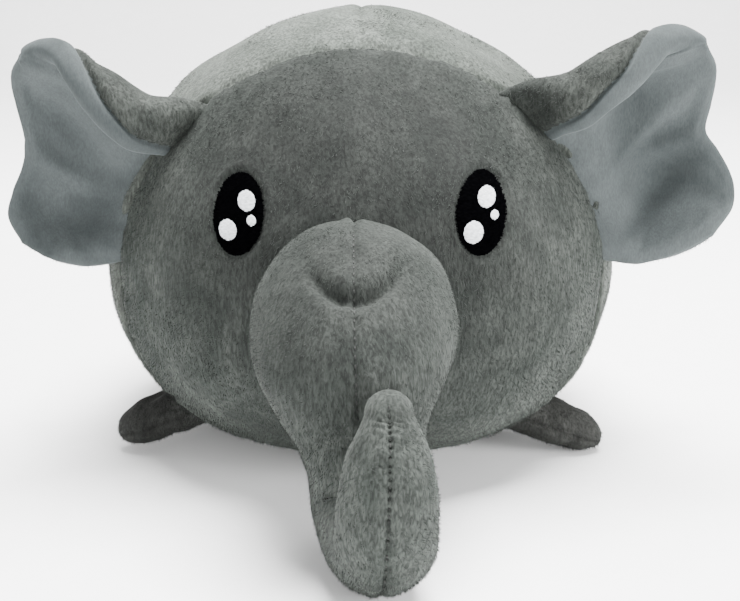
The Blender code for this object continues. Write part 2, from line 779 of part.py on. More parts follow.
def main():
    for old in list(bpy.data.objects):
        bpy.data.objects.remove(old)
    make_face_panel()
    make_back_panel(1, "back_panel_left")
    make_back_panel(-1, "back_panel_right")
    make_belly_panel()
    make_body_stuffing()
    make_snout()
    make_trunk(pivot_at("trunk_swing_pivot", trunk_centre(SWING_AT)))
    make_trunk_tip(pivot_at("trunk_uncurl_pivot", trunk_centre(UNCURL_AT)))
    for side, hand in ((1, "left"), (-1, "right")):
        make_ear(side, f"ear_{hand}")
        make_eye(side, f"eye_{hand}")
        make_foot(f"foot_front_{hand}", side, -FOOT_FRONT_AHEAD)
        make_foot(f"foot_rear_{hand}", side, FOOT_REAR_BEHIND)
    make_tail()
    make_care_label()


main()
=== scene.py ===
"""The looks of a round stuffed elephant: plush panels, padded ears, eyes and a small studio."""

import logging
import math
from collections.abc import Callable
from dataclasses import dataclass, field
from enum import Enum

import bmesh
import bpy
import numpy as np
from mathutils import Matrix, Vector
from mathutils.kdtree import KDTree


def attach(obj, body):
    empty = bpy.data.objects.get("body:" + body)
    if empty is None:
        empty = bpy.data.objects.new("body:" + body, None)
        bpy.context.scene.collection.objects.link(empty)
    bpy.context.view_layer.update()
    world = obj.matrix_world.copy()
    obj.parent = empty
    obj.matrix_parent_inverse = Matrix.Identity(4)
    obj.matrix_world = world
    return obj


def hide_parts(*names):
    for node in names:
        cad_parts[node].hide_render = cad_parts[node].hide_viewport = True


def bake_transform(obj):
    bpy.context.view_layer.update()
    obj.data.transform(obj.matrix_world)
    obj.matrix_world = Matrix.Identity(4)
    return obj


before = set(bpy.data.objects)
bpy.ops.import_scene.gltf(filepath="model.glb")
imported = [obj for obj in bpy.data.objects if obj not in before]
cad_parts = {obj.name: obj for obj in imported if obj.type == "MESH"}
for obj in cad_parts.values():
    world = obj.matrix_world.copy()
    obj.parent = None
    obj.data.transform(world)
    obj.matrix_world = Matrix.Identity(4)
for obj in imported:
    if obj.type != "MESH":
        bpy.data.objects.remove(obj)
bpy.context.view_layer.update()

log = logging.getLogger("stuffed_elephant")
Array = np.ndarray
EYE_SIZE = (0.0107, 0.0162)
EYE_PLACES = ((0.0489, 0.1290, math.radians(1.0)), (-0.0505, 0.1280, math.radians(9.0)))
EYE_HIGHLIGHTS = (
    (
        ("upper", 0.0023, 0.0064, 0.0038), ("lower", -0.0035, -0.0064, 0.0041),
        ("small", 0.0055, -0.0006, 0.0017),
    ),
    (
        ("upper", 0.0035, 0.0059, 0.0037), ("lower", -0.0043, -0.0060, 0.0038),
        ("small", 0.0057, -0.0013, 0.0019),
    ),
)
PILE_DENSITY = 900000.0
PILE_LENGTH = 0.0013
PILE_LEAN = 2.6
FLOOR_GAP = 0.0003
SETTLE_FRAMES = 20
SETTLE_SPAN = 84
RING_REACH = 0.16
RING_HALVINGS = 44


class Side(Enum):
    """The toy's own left, which is +X, and its own right."""

    LEFT = 1
    RIGHT = -1

    @property
    def word(self) -> str:
        """The side's name inside a piece's name."""
        return self.name.lower()


# Number helpers -----------------------------------------------------------------------------------
def bell(distance: Array | float, width: float) -> Array | float:
    """A smooth bump that is 1 at no distance and nearly 0 past twice the width."""
    return np.exp(-((distance / width) ** 2))


def ease(value: Array | float, low: float = 0.0, high: float = 1.0) -> Array | float:
    """Rises smoothly from 0 at low to 1 at high."""
    share = np.clip((value - low) / (high - low), 0.0, 1.0)
    return share * share * (3 - 2 * share)


def unit(vectors: Array) -> Array:
    """The vectors at length 1."""
    return vectors / np.maximum(np.linalg.norm(vectors, axis=-1, keepdims=True), 1e-12)


def spaced(count: int, crowd: float) -> Array:
    """Places from 0 to 1 that crowd together at both ends.

    Args:
        count: How many steps there are.
        crowd: 0 for even steps, towards 1 for more crowded ends.
    """
    even = np.linspace(0.0, 1.0, count + 1)
    waved = (1 - np.cos(np.pi * even)) / 2
    return even * (1 - crowd) + waved * crowd


def spline(values: Array, place: Array) -> Array:
    """Reads a smooth curve through the values at places counted in values.

    Args:
        values: The values, along the first axis.
        place: Where to read them.

    Returns:
        One value for each place.
    """
    last = len(values) - 1
    place = np.clip(place, 0.0, last)
    k = np.minimum(place.astype(int), last - 1)
    t = (place - k).reshape(place.shape + (1,) * (values.ndim - 1))
    a, b, c, d = (values[np.clip(k + step, 0, last)] for step in (-1, 0, 1, 2))
    curve = 2 * b + (c - a) * t + (2 * a - 5 * b + 4 * c - d) * t**2 + (3 * b - a - 3 * c + d) * t**3
    return curve / 2


def resample(grid: Array, rows: Array, columns: Array, wrap: bool) -> Array:
    """Reads a coarse grid smoothly at shares of its height and width.

    Args:
        grid: Values in rows and columns.
        rows: Shares from 0 to 1 down the grid.
        columns: Shares from 0 to 1 across it, one for each row share.
        wrap: Whether the last column is followed by the first.

    Returns:
        One value for each pair of shares.
    """
    height, width = grid.shape[:2]
    down = np.clip(rows, 0, 1) * (height - 1)
    across = columns * (width if wrap else width - 1)
    r = np.clip(down.astype(int), 0, height - 2)
    c = np.floor(across).astype(int)
    u, v = (down - r)[..., None], (across - c)[..., None]

    def weights(t: Array) -> tuple[Array, ...]:
        """The smooth curve's share of each of the four nearest values."""
        second, third = (3 * t**3 - 6 * t**2 + 4) / 6, (-3 * t**3 + 3 * t**2 + 3 * t + 1) / 6
        return (1 - t) ** 3 / 6, second, third, t**3 / 6

    found = 0.0
    for i, wr in enumerate(weights(u)):
        row = np.clip(r + i - 1, 0, height - 1)
        for j, wc in enumerate(weights(v)):
            column = (c + j - 1) % width if wrap else np.clip(c + j - 1, 0, width - 1)
            found = found + wr * wc * grid[row, column]
    return found


@dataclass(frozen=True)
class Lumps:
    """The uneven surface that loose stuffing gives to cloth."""

    wavelength: float
    height: float
    seed: int
    waves: int = 26

    def at(self, points: Array) -> Array:
        """The height over each point."""
        rng = np.random.default_rng(self.seed)
        turns = unit(rng.normal(size=(self.waves, 3)))
        pitch = 2 * math.pi / (self.wavelength * rng.uniform(0.7, 1.6, self.waves))
        phase = rng.uniform(0, 2 * math.pi, self.waves)
        angles = points @ (turns * pitch[:, None]).T + phase
        return self.height * np.sin(angles).sum(axis=-1) / math.sqrt(self.waves / 2)


# Mesh helpers -------------------------------------------------------------------------------------
def make_object(name: str, points: Array, faces: list[tuple[int, ...]]) -> bpy.types.Object:
    """A smooth mesh object, with doubled points joined and faces turned outwards.

    Args:
        name: The piece's name.
        points: The points, one to a row.
        faces: Point numbers of each face.

    Returns:
        The object, linked to the scene.
    """
    mesh = bpy.data.meshes.new(name)
    mesh.from_pydata(points.reshape(-1, 3).tolist(), [], faces)
    work = bmesh.new()
    work.from_mesh(mesh)
    bmesh.ops.remove_doubles(work, verts=work.verts, dist=0.00001)
    bmesh.ops.recalc_face_normals(work, faces=work.faces)
    work.to_mesh(mesh)
    work.free()
    mesh.shade_smooth()
    made = bpy.data.objects.new(name, mesh)
    bpy.context.scene.collection.objects.link(made)
    return made


def grid_faces(rows: int, columns: int, wrap: bool, first: int = 0) -> list[tuple[int, ...]]:
    """Faces of a grid of points that are numbered row by row.

    Args:
        rows: Rows of points.
        columns: Points in a row.
        wrap: Whether the last column meets the first.
        first: The first point's number.

    Returns:
        The point numbers of each face.
    """
    faces = []
    for i in range(rows - 1):
        for j in range(columns if wrap else columns - 1):
            k = (j + 1) % columns
            a, b = first + i * columns, first + (i + 1) * columns
            faces.append((a + j, a + k, b + k, b + j))
    return faces


def aim_outwards(piece: bpy.types.Object, normals_at: Callable[[Array], Array]) -> None:
    """Turns an open sheet over if its faces look against the given directions.

    Args:
        piece: The sheet.
        normals_at: Gives the wanted directions at the faces' middles.
    """
    mesh = piece.data
    middles = np.empty(len(mesh.polygons) * 3)
    mesh.polygons.foreach_get("center", middles)
    turns = np.empty(len(mesh.polygons) * 3)
    mesh.polygons.foreach_get("normal", turns)
    wanted = normals_at(middles.reshape(-1, 3))
    if (turns.reshape(-1, 3) * wanted).sum() < 0:
        mesh.flip_normals()


def dress(piece: bpy.types.Object, *finishes: bpy.types.Material) -> None:
    """Gives the piece its materials, in slot order."""
    piece.data.materials.clear()
    for finish in finishes:
        piece.data.materials.append(finish)


def settle(points: Array, pinned: Array, pressure: float, cap: float, wrap: bool = True) -> Array:
    """How far stuffing pushes out a closed skin that is held along its seams.

    Args:
        points: A grid of points. The first and last rows are closed by a point each.
        pinned: From 0, free, to 1, held, for each point of the grid.
        pressure: The stuffing's push.
        cap: The furthest that a point may move.
        wrap: Whether the last column is followed by the first.

    Returns:
        The move of each point of the grid.
    """
    rows, columns = points.shape[:2]
    flat = points.reshape(-1, 3)
    ends = np.stack([points[0].mean(axis=0), points[-1].mean(axis=0)])
    faces = grid_faces(rows, columns, wrap)
    for row, end in ((0, rows * columns), (rows - 1, rows * columns + 1)):
        base = row * columns
        faces += [(base + j, base + (j + 1) % columns, end) for j in range(columns)]
    scratch = make_object("scratch_skin", np.vstack([flat, ends]), faces)
    if len(scratch.data.vertices) != len(flat) + 2:
        bpy.data.objects.remove(scratch)
        return np.zeros_like(points)
    held = scratch.vertex_groups.new(name="held")
    for number, weight in enumerate(pinned.reshape(-1)):
        held.add([number], float(weight), "REPLACE")
    cloth = scratch.modifiers.new("stuffing", "CLOTH")
    cloth.settings.quality = 6
    cloth.settings.use_pressure = True
    cloth.settings.uniform_pressure_force = pressure
    cloth.settings.effector_weights.gravity = 0.0
    cloth.settings.vertex_group_mass = "held"
    cloth.settings.pin_stiffness = 5.0
    cloth.settings.shrink_min = -0.015
    cloth.collision_settings.use_collision = False
    scene = bpy.context.scene
    for number in range(1, SETTLE_FRAMES + 1):
        scene.frame_set(number)
    shaped = scratch.evaluated_get(bpy.context.evaluated_depsgraph_get())
    moved = np.empty(len(scratch.data.vertices) * 3)
    shaped.data.vertices.foreach_get("co", moved)
    scene.frame_set(1)
    bpy.data.objects.remove(scratch)
    change = moved.reshape(-1, 3)[: len(flat)] - flat
    length = np.linalg.norm(change, axis=1, keepdims=True)
    change = change * (cap / (cap + length))
    return np.nan_to_num(change).reshape(points.shape)


# Finishes -----------------------------------------------------------------------------------------
class Nodes:
    """A short way to write a material's node tree."""

    def __init__(self, name: str) -> None:
        """Makes an empty material with its output and shader."""
        self.material = bpy.data.materials.new(name)
        self.material.use_nodes = True
        self.tree = self.material.node_tree
        self.shader = self.tree.nodes["Principled BSDF"]
        self.place = self.add("ShaderNodeTexCoord").outputs["Object"]

    def add(self, kind: str, **values: object) -> bpy.types.Node:
        """Adds a node and sets its properties."""
        node = self.tree.nodes.new(kind)
        for key, value in values.items():
            setattr(node, key, value)
        return node

    def link(self, source: bpy.types.NodeSocket, target: bpy.types.NodeSocket) -> None:
        """Joins two sockets."""
        self.tree.links.new(source, target)

    def stretched(self, scale: tuple[float, float, float], turn: float = 0.0) -> bpy.types.NodeSocket:
        """The object's coordinates, stretched and turned for a pattern."""
        mapping = self.add("ShaderNodeMapping")
        mapping.inputs["Scale"].default_value = scale
        mapping.inputs["Rotation"].default_value = (turn, turn * 0.7, turn * 0.4)
        self.link(self.place, mapping.inputs["Vector"])
        return mapping.outputs["Vector"]

    def noise(
        self, vector: bpy.types.NodeSocket, scale: float, detail: float = 2.0, twist: float = 0.0,
    ) -> bpy.types.NodeSocket:
        """A noise pattern's value."""
        node = self.add("ShaderNodeTexNoise")
        node.inputs["Scale"].default_value = scale
        node.inputs["Detail"].default_value = detail
        node.inputs["Distortion"].default_value = twist
        self.link(vector, node.inputs["Vector"])
        return node.outputs["Fac"]

    def ramp(
        self, value: bpy.types.NodeSocket, *stops: tuple[float, tuple[float, float, float]],
    ) -> bpy.types.NodeSocket:
        """Colours read from a value."""
        node = self.add("ShaderNodeValToRGB")
        elements = node.color_ramp.elements
        while len(elements) < len(stops):
            elements.new(0.5)
        for element, (place, colour) in zip(elements, stops):
            element.position = place
            element.color = (*colour, 1.0)
        self.link(value, node.inputs["Fac"])
        return node.outputs["Color"]

    def mix(
        self, first: object, second: object, share: object, kind: str = "MIX",
    ) -> bpy.types.NodeSocket:
        """Two colours mixed by a share. Each may be a socket or a plain value."""
        node = self.add("ShaderNodeMix", data_type="RGBA", blend_type=kind)
        for value, number in ((share, 0), (first, 6), (second, 7)):
            if isinstance(value, bpy.types.NodeSocket):
                self.link(value, node.inputs[number])
            elif number:
                node.inputs[number].default_value = (*value, 1.0)
            else:
                node.inputs[number].default_value = value
        return node.outputs[2]

    def math(self, kind: str, first: object, second: object) -> bpy.types.NodeSocket:
        """A sum on two values or sockets."""
        node = self.add("ShaderNodeMath", operation=kind)
        for value, number in ((first, 0), (second, 1)):
            if isinstance(value, bpy.types.NodeSocket):
                self.link(value, node.inputs[number])
            else:
                node.inputs[number].default_value = value
        return node.outputs[0]

    def bump(self, height: bpy.types.NodeSocket, distance: float, strength: float = 1.0) -> None:
        """Adds a bump over any that the shader already has."""
        node = self.add("ShaderNodeBump")
        node.inputs["Distance"].default_value = distance
        node.inputs["Strength"].default_value = strength
        self.link(height, node.inputs["Height"])
        normal = self.shader.inputs["Normal"]
        if normal.is_linked:
            self.link(normal.links[0].from_socket, node.inputs["Normal"])
        self.link(node.outputs["Normal"], normal)

    def plain(self, **values: float | tuple) -> None:
        """Sets constants on the shader. Names have _ for each space."""
        for key, value in values.items():
            self.shader.inputs[key.replace("_", " ")].default_value = value


@dataclass(frozen=True)
class PlushFinish:
    """Short pile with brushed patches.

    The colour is also multiplied by painted light and shade that changes from near a centre to far from
    it, so parts of a panel look lit and parts shaded.
    """

    name: str
    dark: tuple[float, float, float]
    light: tuple[float, float, float]
    sheen: float = 0.40
    patch: float = 26.0
    fibre: float = 900.0
    pile: float = 0.00035
    contrast: float = 1.0
    # Painted light and shade: colour multipliers near the centre and far from it, the centre, and the
    # distances over which one gives way to the other.
    painted_shading: tuple[float, float] = (1.0, 1.0)
    painted_shading_centre: tuple[float, float, float] = (0.0, 0.0, 0.0)
    painted_shading_reach: tuple[float, float] = (0.05, 0.10)

    def make(self) -> bpy.types.Material:
        """Builds the node material."""
        nodes = Nodes(self.name)
        patches = nodes.noise(nodes.place, self.patch, 3.0, 1.4)
        strokes = nodes.noise(nodes.stretched((1.0, 1.0, 0.30), 0.25), self.fibre * 0.22, 3.0, 0.8)
        fibres = nodes.noise(nodes.stretched((1.0, 1.0, 0.34), 0.15), self.fibre, 2.0, 0.6)
        middle = tuple((a + b) / 2 for a, b in zip(self.dark, self.light))
        colour = nodes.ramp(patches, (0.34, self.dark), (0.52, middle), (0.68, self.light))
        streak = nodes.ramp(strokes, (0.32, (0.80,) * 3), (0.68, (1.16,) * 3))
        colour = nodes.mix(colour, streak, 0.9 * self.contrast, "MULTIPLY")
        thread = nodes.ramp(fibres, (0.35, (0.48,) * 3), (0.65, (1.45,) * 3))
        colour = nodes.mix(colour, thread, 0.85 * self.contrast, "MULTIPLY")
        # Painted light and shade: one multiplier near the centre and another far from it, for how the
        # light falls on the panel.
        if self.painted_shading != (1.0, 1.0):
            away = nodes.add("ShaderNodeVectorMath", operation="DISTANCE")
            nodes.link(nodes.place, away.inputs[0])
            away.inputs[1].default_value = self.painted_shading_centre
            near, far = self.painted_shading
            start, end = self.painted_shading_reach
            painted_shading_ramp = nodes.ramp(away.outputs["Value"], (start, (near,) * 3), (end, (far,) * 3))
            colour = nodes.mix(colour, painted_shading_ramp, 1.0, "MULTIPLY")
        nodes.link(colour, nodes.shader.inputs["Base Color"])
        nodes.bump(strokes, self.pile * 1.2, 0.6)
        nodes.bump(fibres, self.pile, 0.9)
        tint = tuple(min(1.0, c * 3.2) for c in self.light)
        nodes.plain(
            Roughness=0.92, Specular_IOR_Level=0.18, Sheen_Weight=self.sheen,
            Sheen_Roughness=0.42, Sheen_Tint=(*tint, 1.0),
        )
        return nodes.material


@dataclass(frozen=True)
class FibreFinish:
    """One plain shade of loose pile."""

    name: str
    colour: tuple[float, float, float]

    def make(self) -> bpy.types.Material:
        """Builds the node material."""
        nodes = Nodes(self.name)
        nodes.plain(
            Base_Color=(*self.colour, 1.0), Roughness=0.85, Specular_IOR_Level=0.12,
            Sheen_Weight=0.10, Sheen_Roughness=0.45,
        )
        return nodes.material


@dataclass(frozen=True)
class ThreadFinish:
    """Glossy embroidery thread with its twist."""

    name: str
    dark: tuple[float, float, float]
    light: tuple[float, float, float]
    roughness: float
    gloss: float = 0.30

    def make(self) -> bpy.types.Material:
        """Builds the node material."""
        nodes = Nodes(self.name)
        twist = nodes.noise(nodes.stretched((0.25, 1.0, 1.0)), 1600.0, 2.0)
        colour = nodes.ramp(twist, (0.30, self.dark), (0.70, self.light))
        nodes.link(colour, nodes.shader.inputs["Base Color"])
        nodes.bump(twist, 0.00008, 0.6)
        nodes.plain(Roughness=self.roughness, Specular_IOR_Level=self.gloss, Sheen_Weight=0.0)
        return nodes.material


@dataclass(frozen=True)
class SatinFinish:
    """A woven satin ribbon."""

    name: str
    dark: tuple[float, float, float]
    light: tuple[float, float, float]

    def make(self) -> bpy.types.Material:
        """Builds the node material."""
        nodes = Nodes(self.name)
        wave = nodes.add("ShaderNodeTexWave", wave_type="BANDS", bands_direction="Z")
        wave.inputs["Scale"].default_value = 900.0
        wave.inputs["Distortion"].default_value = 0.6
        nodes.link(nodes.place, wave.inputs["Vector"])
        colour = nodes.ramp(wave.outputs["Fac"], (0.2, self.dark), (0.8, self.light))
        nodes.link(colour, nodes.shader.inputs["Base Color"])
        nodes.bump(wave.outputs["Fac"], 0.00006, 0.5)
        nodes.plain(Roughness=0.38, Specular_IOR_Level=0.5, Sheen_Weight=0.2)
        return nodes.material


class Wardrobe:
    """Every finish of the toy, made once."""

    def __init__(self) -> None:
        """Makes the materials."""
        # Painted shade: the face's plush is set darker than the back panels' for the shade on the
        # front, with more painted shade over the middle of the face that lightens towards its edges.
        self.face = PlushFinish(
            "face_plush", (0.0205, 0.0245, 0.0215), (0.0400, 0.0450, 0.0405), sheen=0.13,
            painted_shading=(0.34, 1.0), painted_shading_centre=(0.0, -0.11, 0.150), painted_shading_reach=(0.050, 0.135),
        ).make()
        # Painted light: the back panels' plush is set lighter for the overhead light on the top, with
        # painted shade towards the sides, far from the crown.
        self.back = PlushFinish(
            "body_plush", (0.037, 0.043, 0.037), (0.074, 0.082, 0.073), patch=22.0,
            painted_shading=(1.0, 0.60), painted_shading_centre=(0.0, 0.0, 0.205), painted_shading_reach=(0.045, 0.125),
        ).make()
        # Painted light and shade: painted shade on the snout's top, and the lower trunk set lighter for
        # the light from low in front.
        self.trunk = PlushFinish(
            "trunk_plush", (0.0220, 0.0260, 0.0230), (0.0430, 0.0480, 0.0435), sheen=0.16, patch=24.0,
            painted_shading=(0.42, 1.0), painted_shading_centre=(-0.008, -0.150, 0.128), painted_shading_reach=(0.012, 0.090),
        ).make()
        self.ear = PlushFinish(
            "ear_back_plush", (0.0150, 0.0175, 0.0155), (0.0300, 0.0335, 0.0300),
            sheen=0.20, patch=34.0,
        ).make()
        # The lining's blue-grey is its own colour, set darker in part as painted shade for the shade in
        # the ear's hollow.
        self.lining = PlushFinish(
            "ear_lining_plush", (0.030, 0.0355, 0.0360), (0.052, 0.060, 0.0605),
            sheen=0.34, patch=18.0, fibre=1500.0, pile=0.00010, contrast=0.28,
        ).make()
        # Painted shade: the feet's plush is set darker for the shade under the body; the tail's tuft
        # uses the same dark finish.
        self.foot = PlushFinish(
            "foot_plush", (0.011, 0.0115, 0.0105), (0.022, 0.023, 0.021), sheen=0.22,
        ).make()
        self.black = ThreadFinish(
            "black_thread", (0.0002, 0.0002, 0.0003), (0.0010, 0.0010, 0.0012), 0.50, 0.0,
        ).make()
        self.white = ThreadFinish("white_thread", (0.38, 0.40, 0.42), (0.70, 0.72, 0.74), 0.45).make()
        self.seam = ThreadFinish(
            "seam_thread", (0.008, 0.009, 0.008), (0.020, 0.022, 0.020), 0.70,
        ).make()
        self.label = SatinFinish("label_satin", (0.70, 0.70, 0.68), (0.86, 0.86, 0.84)).make()
        # The pile greys follow the plush under them: the lighter pile on the back panels and tail is
        # painted light like their plush, the darker front pile is painted shade like the face's plush
        # and also goes on the trunk and the ears' backs, and the darkest is painted shade on the feet
        # and also goes on the tail's tuft.
        self.fibres = self.shades("pile", (0.043, 0.048, 0.043))
        self.front_fibres = self.shades("front_pile", (0.0215, 0.0250, 0.0220))
        self.dark_fibres = self.shades("dark_pile", (0.0125, 0.013, 0.012))

    @staticmethod
    def shades(name: str, colour: tuple[float, float, float]) -> list[bpy.types.Material]:
        """Dark, middle and light fibres of one colour."""
        steps = {"dark": 0.70, "middle": 1.0, "light": 1.40}
        return [
            FibreFinish(f"{name}_{word}", tuple(c * k for c in colour)).make()
            for word, k in steps.items()
        ]


# Geometry Nodes -----------------------------------------------------------------------------------
class NodeForm:
    """A Geometry Nodes tree with named inputs, applied to an object and turned into a plain mesh."""

    def __init__(self, name: str) -> None:
        """Makes the tree with its geometry sockets."""
        self.tree = bpy.data.node_groups.new(name, "GeometryNodeTree")
        self.sockets: dict[str, str] = {}
        self.tree.interface.new_socket("Geometry", in_out="INPUT", socket_type="NodeSocketGeometry")
        self.tree.interface.new_socket("Geometry", in_out="OUTPUT", socket_type="NodeSocketGeometry")
        self.entry = self.tree.nodes.new("NodeGroupInput")
        self.exit = self.tree.nodes.new("NodeGroupOutput")

    def value(self, name: str, kind: str = "NodeSocketFloat") -> bpy.types.NodeSocket:
        """Adds a named input and returns its socket inside the tree."""
        made = self.tree.interface.new_socket(name, in_out="INPUT", socket_type=kind)
        self.sockets[name] = made.identifier
        return self.entry.outputs[made.name]

    def add(
        self, kind: str, links: dict[object, object] | None = None, **settings: object,
    ) -> bpy.types.Node:
        """Adds a node, sets its properties, and fills its inputs from sockets or plain values."""
        node = self.tree.nodes.new(kind)
        for key, value in settings.items():
            setattr(node, key, value)
        for key, value in (links or {}).items():
            if isinstance(value, bpy.types.NodeSocket):
                self.tree.links.new(value, node.inputs[key])
            else:
                node.inputs[key].default_value = value
        return node

    def finish(self, geometry: bpy.types.NodeSocket) -> None:
        """Joins the geometry to the tree's output."""
        self.tree.links.new(geometry, self.exit.inputs[0])

    def grow(self, base: bpy.types.Object, name: str, values: dict[str, object]) -> bpy.types.Object:
        """Runs the tree on a base object and returns the result as a plain mesh object.

        Args:
            base: The object that the tree reads.
            name: The new piece's name.
            values: The tree's inputs by name.

        Returns:
            The new piece, at the origin.
        """
        modifier = base.modifiers.new(name, "NODES")
        modifier.node_group = self.tree
        for key, value in values.items():
            modifier[self.sockets[key]] = value
        bpy.context.view_layer.update()
        shaped = base.evaluated_get(bpy.context.evaluated_depsgraph_get())
        mesh = bpy.data.meshes.new_from_object(shaped)
        mesh.name = name
        base.modifiers.remove(modifier)
        made = bpy.data.objects.new(name, mesh)
        bpy.context.scene.collection.objects.link(made)
        return made


class PileForm(NodeForm):
    """Short leaning fibres scattered over a skin, in three plain shades."""

    def __init__(self, shades: list[bpy.types.Material], name: str = "scattered_pile") -> None:
        """Builds the tree.

        Args:
            shades: Dark, middle and light materials of the fibres.
            name: The tree's name.
        """
        super().__init__(name)
        density, length, width = self.value("Density"), self.value("Length"), self.value("Width")
        lean, seed = self.value("Lean"), self.value("Seed", "NodeSocketInt")
        scatter = self.add(
            "GeometryNodeDistributePointsOnFaces",
            {"Mesh": self.entry.outputs[0], "Density": density, "Seed": seed},
        )
        drift = self.add("ShaderNodeTexNoise", {"Scale": 24.0, "Detail": 2.0})
        loose = self.add("ShaderNodeTexNoise", {"Scale": 420.0, "Detail": 1.0})
        centre = self.add(
            "ShaderNodeVectorMath", {0: drift.outputs["Color"], 1: (0.5, 0.5, 0.72)},
            operation="SUBTRACT",
        )
        flow = self.add("ShaderNodeVectorMath", {0: centre.outputs[0], "Scale": 3.2}, operation="SCALE")
        stray = self.add(
            "ShaderNodeVectorMath", {0: loose.outputs["Color"], 1: (0.5, 0.5, 0.5)},
            operation="SUBTRACT",
        )
        strays = self.add(
            "ShaderNodeVectorMath", {0: stray.outputs[0], "Scale": 2.6}, operation="SCALE",
        )
        both = self.add(
            "ShaderNodeVectorMath", {0: flow.outputs[0], 1: strays.outputs[0]}, operation="ADD",
        )
        leaned = self.add(
            "ShaderNodeVectorMath", {0: both.outputs[0], "Scale": lean}, operation="SCALE",
        )
        aim = self.add(
            "ShaderNodeVectorMath", {0: leaned.outputs[0], 1: scatter.outputs["Normal"]},
            operation="ADD",
        )
        turn = self.add("FunctionNodeAlignEulerToVector", {"Vector": aim.outputs[0]}, axis="Z")
        spin = self.add("FunctionNodeRandomValue", {"Seed": seed}, data_type="FLOAT")
        spin.inputs[2].default_value = 0.0
        spin.inputs[3].default_value = 2 * math.pi
        round_z = self.add("ShaderNodeCombineXYZ", {"Z": spin.outputs[1]})
        turned = self.add(
            "FunctionNodeRotateEuler", {0: turn.outputs[0], 1: round_z.outputs[0]},
            rotation_type="EULER", space="LOCAL",
        )
        blade = self.blade(length, width)
        size = self.add("FunctionNodeRandomValue", {"Seed": 7}, data_type="FLOAT")
        size.inputs[2].default_value = 0.6
        size.inputs[3].default_value = 1.25
        laid = self.add("GeometryNodeInstanceOnPoints", {
            "Points": scatter.outputs["Points"], "Instance": blade,
            "Rotation": turned.outputs[0], "Scale": size.outputs[1],
        })
        shade = self.add("FunctionNodeRandomValue", {"Seed": 11}, data_type="FLOAT")
        store = self.add("GeometryNodeStoreNamedAttribute", {
            "Geometry": laid.outputs[0], "Name": "shade", "Value": shade.outputs[1],
        }, data_type="FLOAT", domain="INSTANCE")
        real = self.add("GeometryNodeRealizeInstances", {"Geometry": store.outputs[0]})
        named = self.add("GeometryNodeInputNamedAttribute", {"Name": "shade"}, data_type="FLOAT")
        geometry = self.add(
            "GeometryNodeSetMaterial", {"Geometry": real.outputs[0], "Material": shades[1]},
        ).outputs[0]
        for limit, kind, finish in ((0.33, "LESS_THAN", shades[0]), (0.72, "GREATER_THAN", shades[2])):
            pick = self.add(
                "FunctionNodeCompare", {0: named.outputs[0], 1: limit}, data_type="FLOAT",
                operation=kind,
            )
            geometry = self.add("GeometryNodeSetMaterial", {
                "Geometry": geometry, "Selection": pick.outputs[0], "Material": finish,
            }).outputs[0]
        self.finish(geometry)

    def blade(self, length: bpy.types.NodeSocket, width: bpy.types.NodeSocket) -> bpy.types.NodeSocket:
        """One fibre: a narrow three-sided spike."""
        spike = self.add("GeometryNodeMeshCone", {
            "Vertices": 3, "Radius Top": 0.0, "Radius Bottom": width, "Depth": length,
        }, fill_type="NONE")
        return spike.outputs["Mesh"]


class SatinForm(NodeForm):
    """Rows of embroidery thread that fill an oval, side by side."""

    def __init__(self) -> None:
        """Builds the tree."""
        super().__init__("satin_rows")
        wide, high = self.value("Half Width"), self.value("Half Height")
        rows, thick = self.value("Rows", "NodeSocketInt"), self.value("Thickness")
        seed, finish = self.value("Seed", "NodeSocketInt"), self.value("Finish", "NodeSocketMaterial")
        line = self.add("GeometryNodeMeshLine", {"Count": rows}, mode="END_POINTS")
        low = self.add("ShaderNodeMath", {0: high, 1: -0.985}, operation="MULTIPLY")
        top = self.add("ShaderNodeMath", {0: high, 1: 0.985}, operation="MULTIPLY")
        start = self.add("ShaderNodeCombineXYZ", {"Z": low.outputs[0]})
        end = self.add("ShaderNodeCombineXYZ", {"Z": top.outputs[0]})
        self.tree.links.new(start.outputs[0], line.inputs["Start Location"])
        self.tree.links.new(end.outputs[0], line.inputs["Offset"])
        place = self.add("ShaderNodeSeparateXYZ", {0: self.add("GeometryNodeInputPosition").outputs[0]})
        share = self.add("ShaderNodeMath", {0: place.outputs["Z"], 1: high}, operation="DIVIDE")
        square = self.add(
            "ShaderNodeMath", {0: share.outputs[0], 1: share.outputs[0]}, operation="MULTIPLY",
        )
        rest = self.add("ShaderNodeMath", {0: 1.0, 1: square.outputs[0]}, operation="SUBTRACT")
        root = self.add("ShaderNodeMath", {0: rest.outputs[0]}, operation="SQRT")
        ragged = self.add("FunctionNodeRandomValue", {"Seed": seed}, data_type="FLOAT")
        ragged.inputs[2].default_value = 0.93
        ragged.inputs[3].default_value = 1.04
        chord = self.add(
            "ShaderNodeMath", {0: root.outputs[0], 1: ragged.outputs[1]}, operation="MULTIPLY",
        )
        reach = self.add("ShaderNodeMath", {0: chord.outputs[0], 1: wide}, operation="MULTIPLY")
        size = self.add("ShaderNodeCombineXYZ", {"X": reach.outputs[0], "Y": 1.0, "Z": 1.0})
        strand = self.add(
            "GeometryNodeCurvePrimitiveLine", {"Start": (-1.0, 0.0, 0.0), "End": (1.0, 0.0, 0.0)},
        )
        steps = self.add("GeometryNodeResampleCurve", {"Curve": strand.outputs[0], "Count": 9})
        laid = self.add("GeometryNodeInstanceOnPoints", {
            "Points": line.outputs[0], "Instance": steps.outputs[0], "Scale": size.outputs[0],
        })
        real = self.add("GeometryNodeRealizeInstances", {"Geometry": laid.outputs[0]})
        circle = self.add(
            "GeometryNodeCurvePrimitiveCircle", {"Resolution": 6, "Radius": thick}, mode="RADIUS",
        )
        tube = self.add("GeometryNodeCurveToMesh", {
            "Curve": real.outputs[0], "Profile Curve": circle.outputs[0], "Fill Caps": True,
        })
        dyed = self.add("GeometryNodeSetMaterial", {"Geometry": tube.outputs[0], "Material": finish})
        self.finish(dyed.outputs[0])


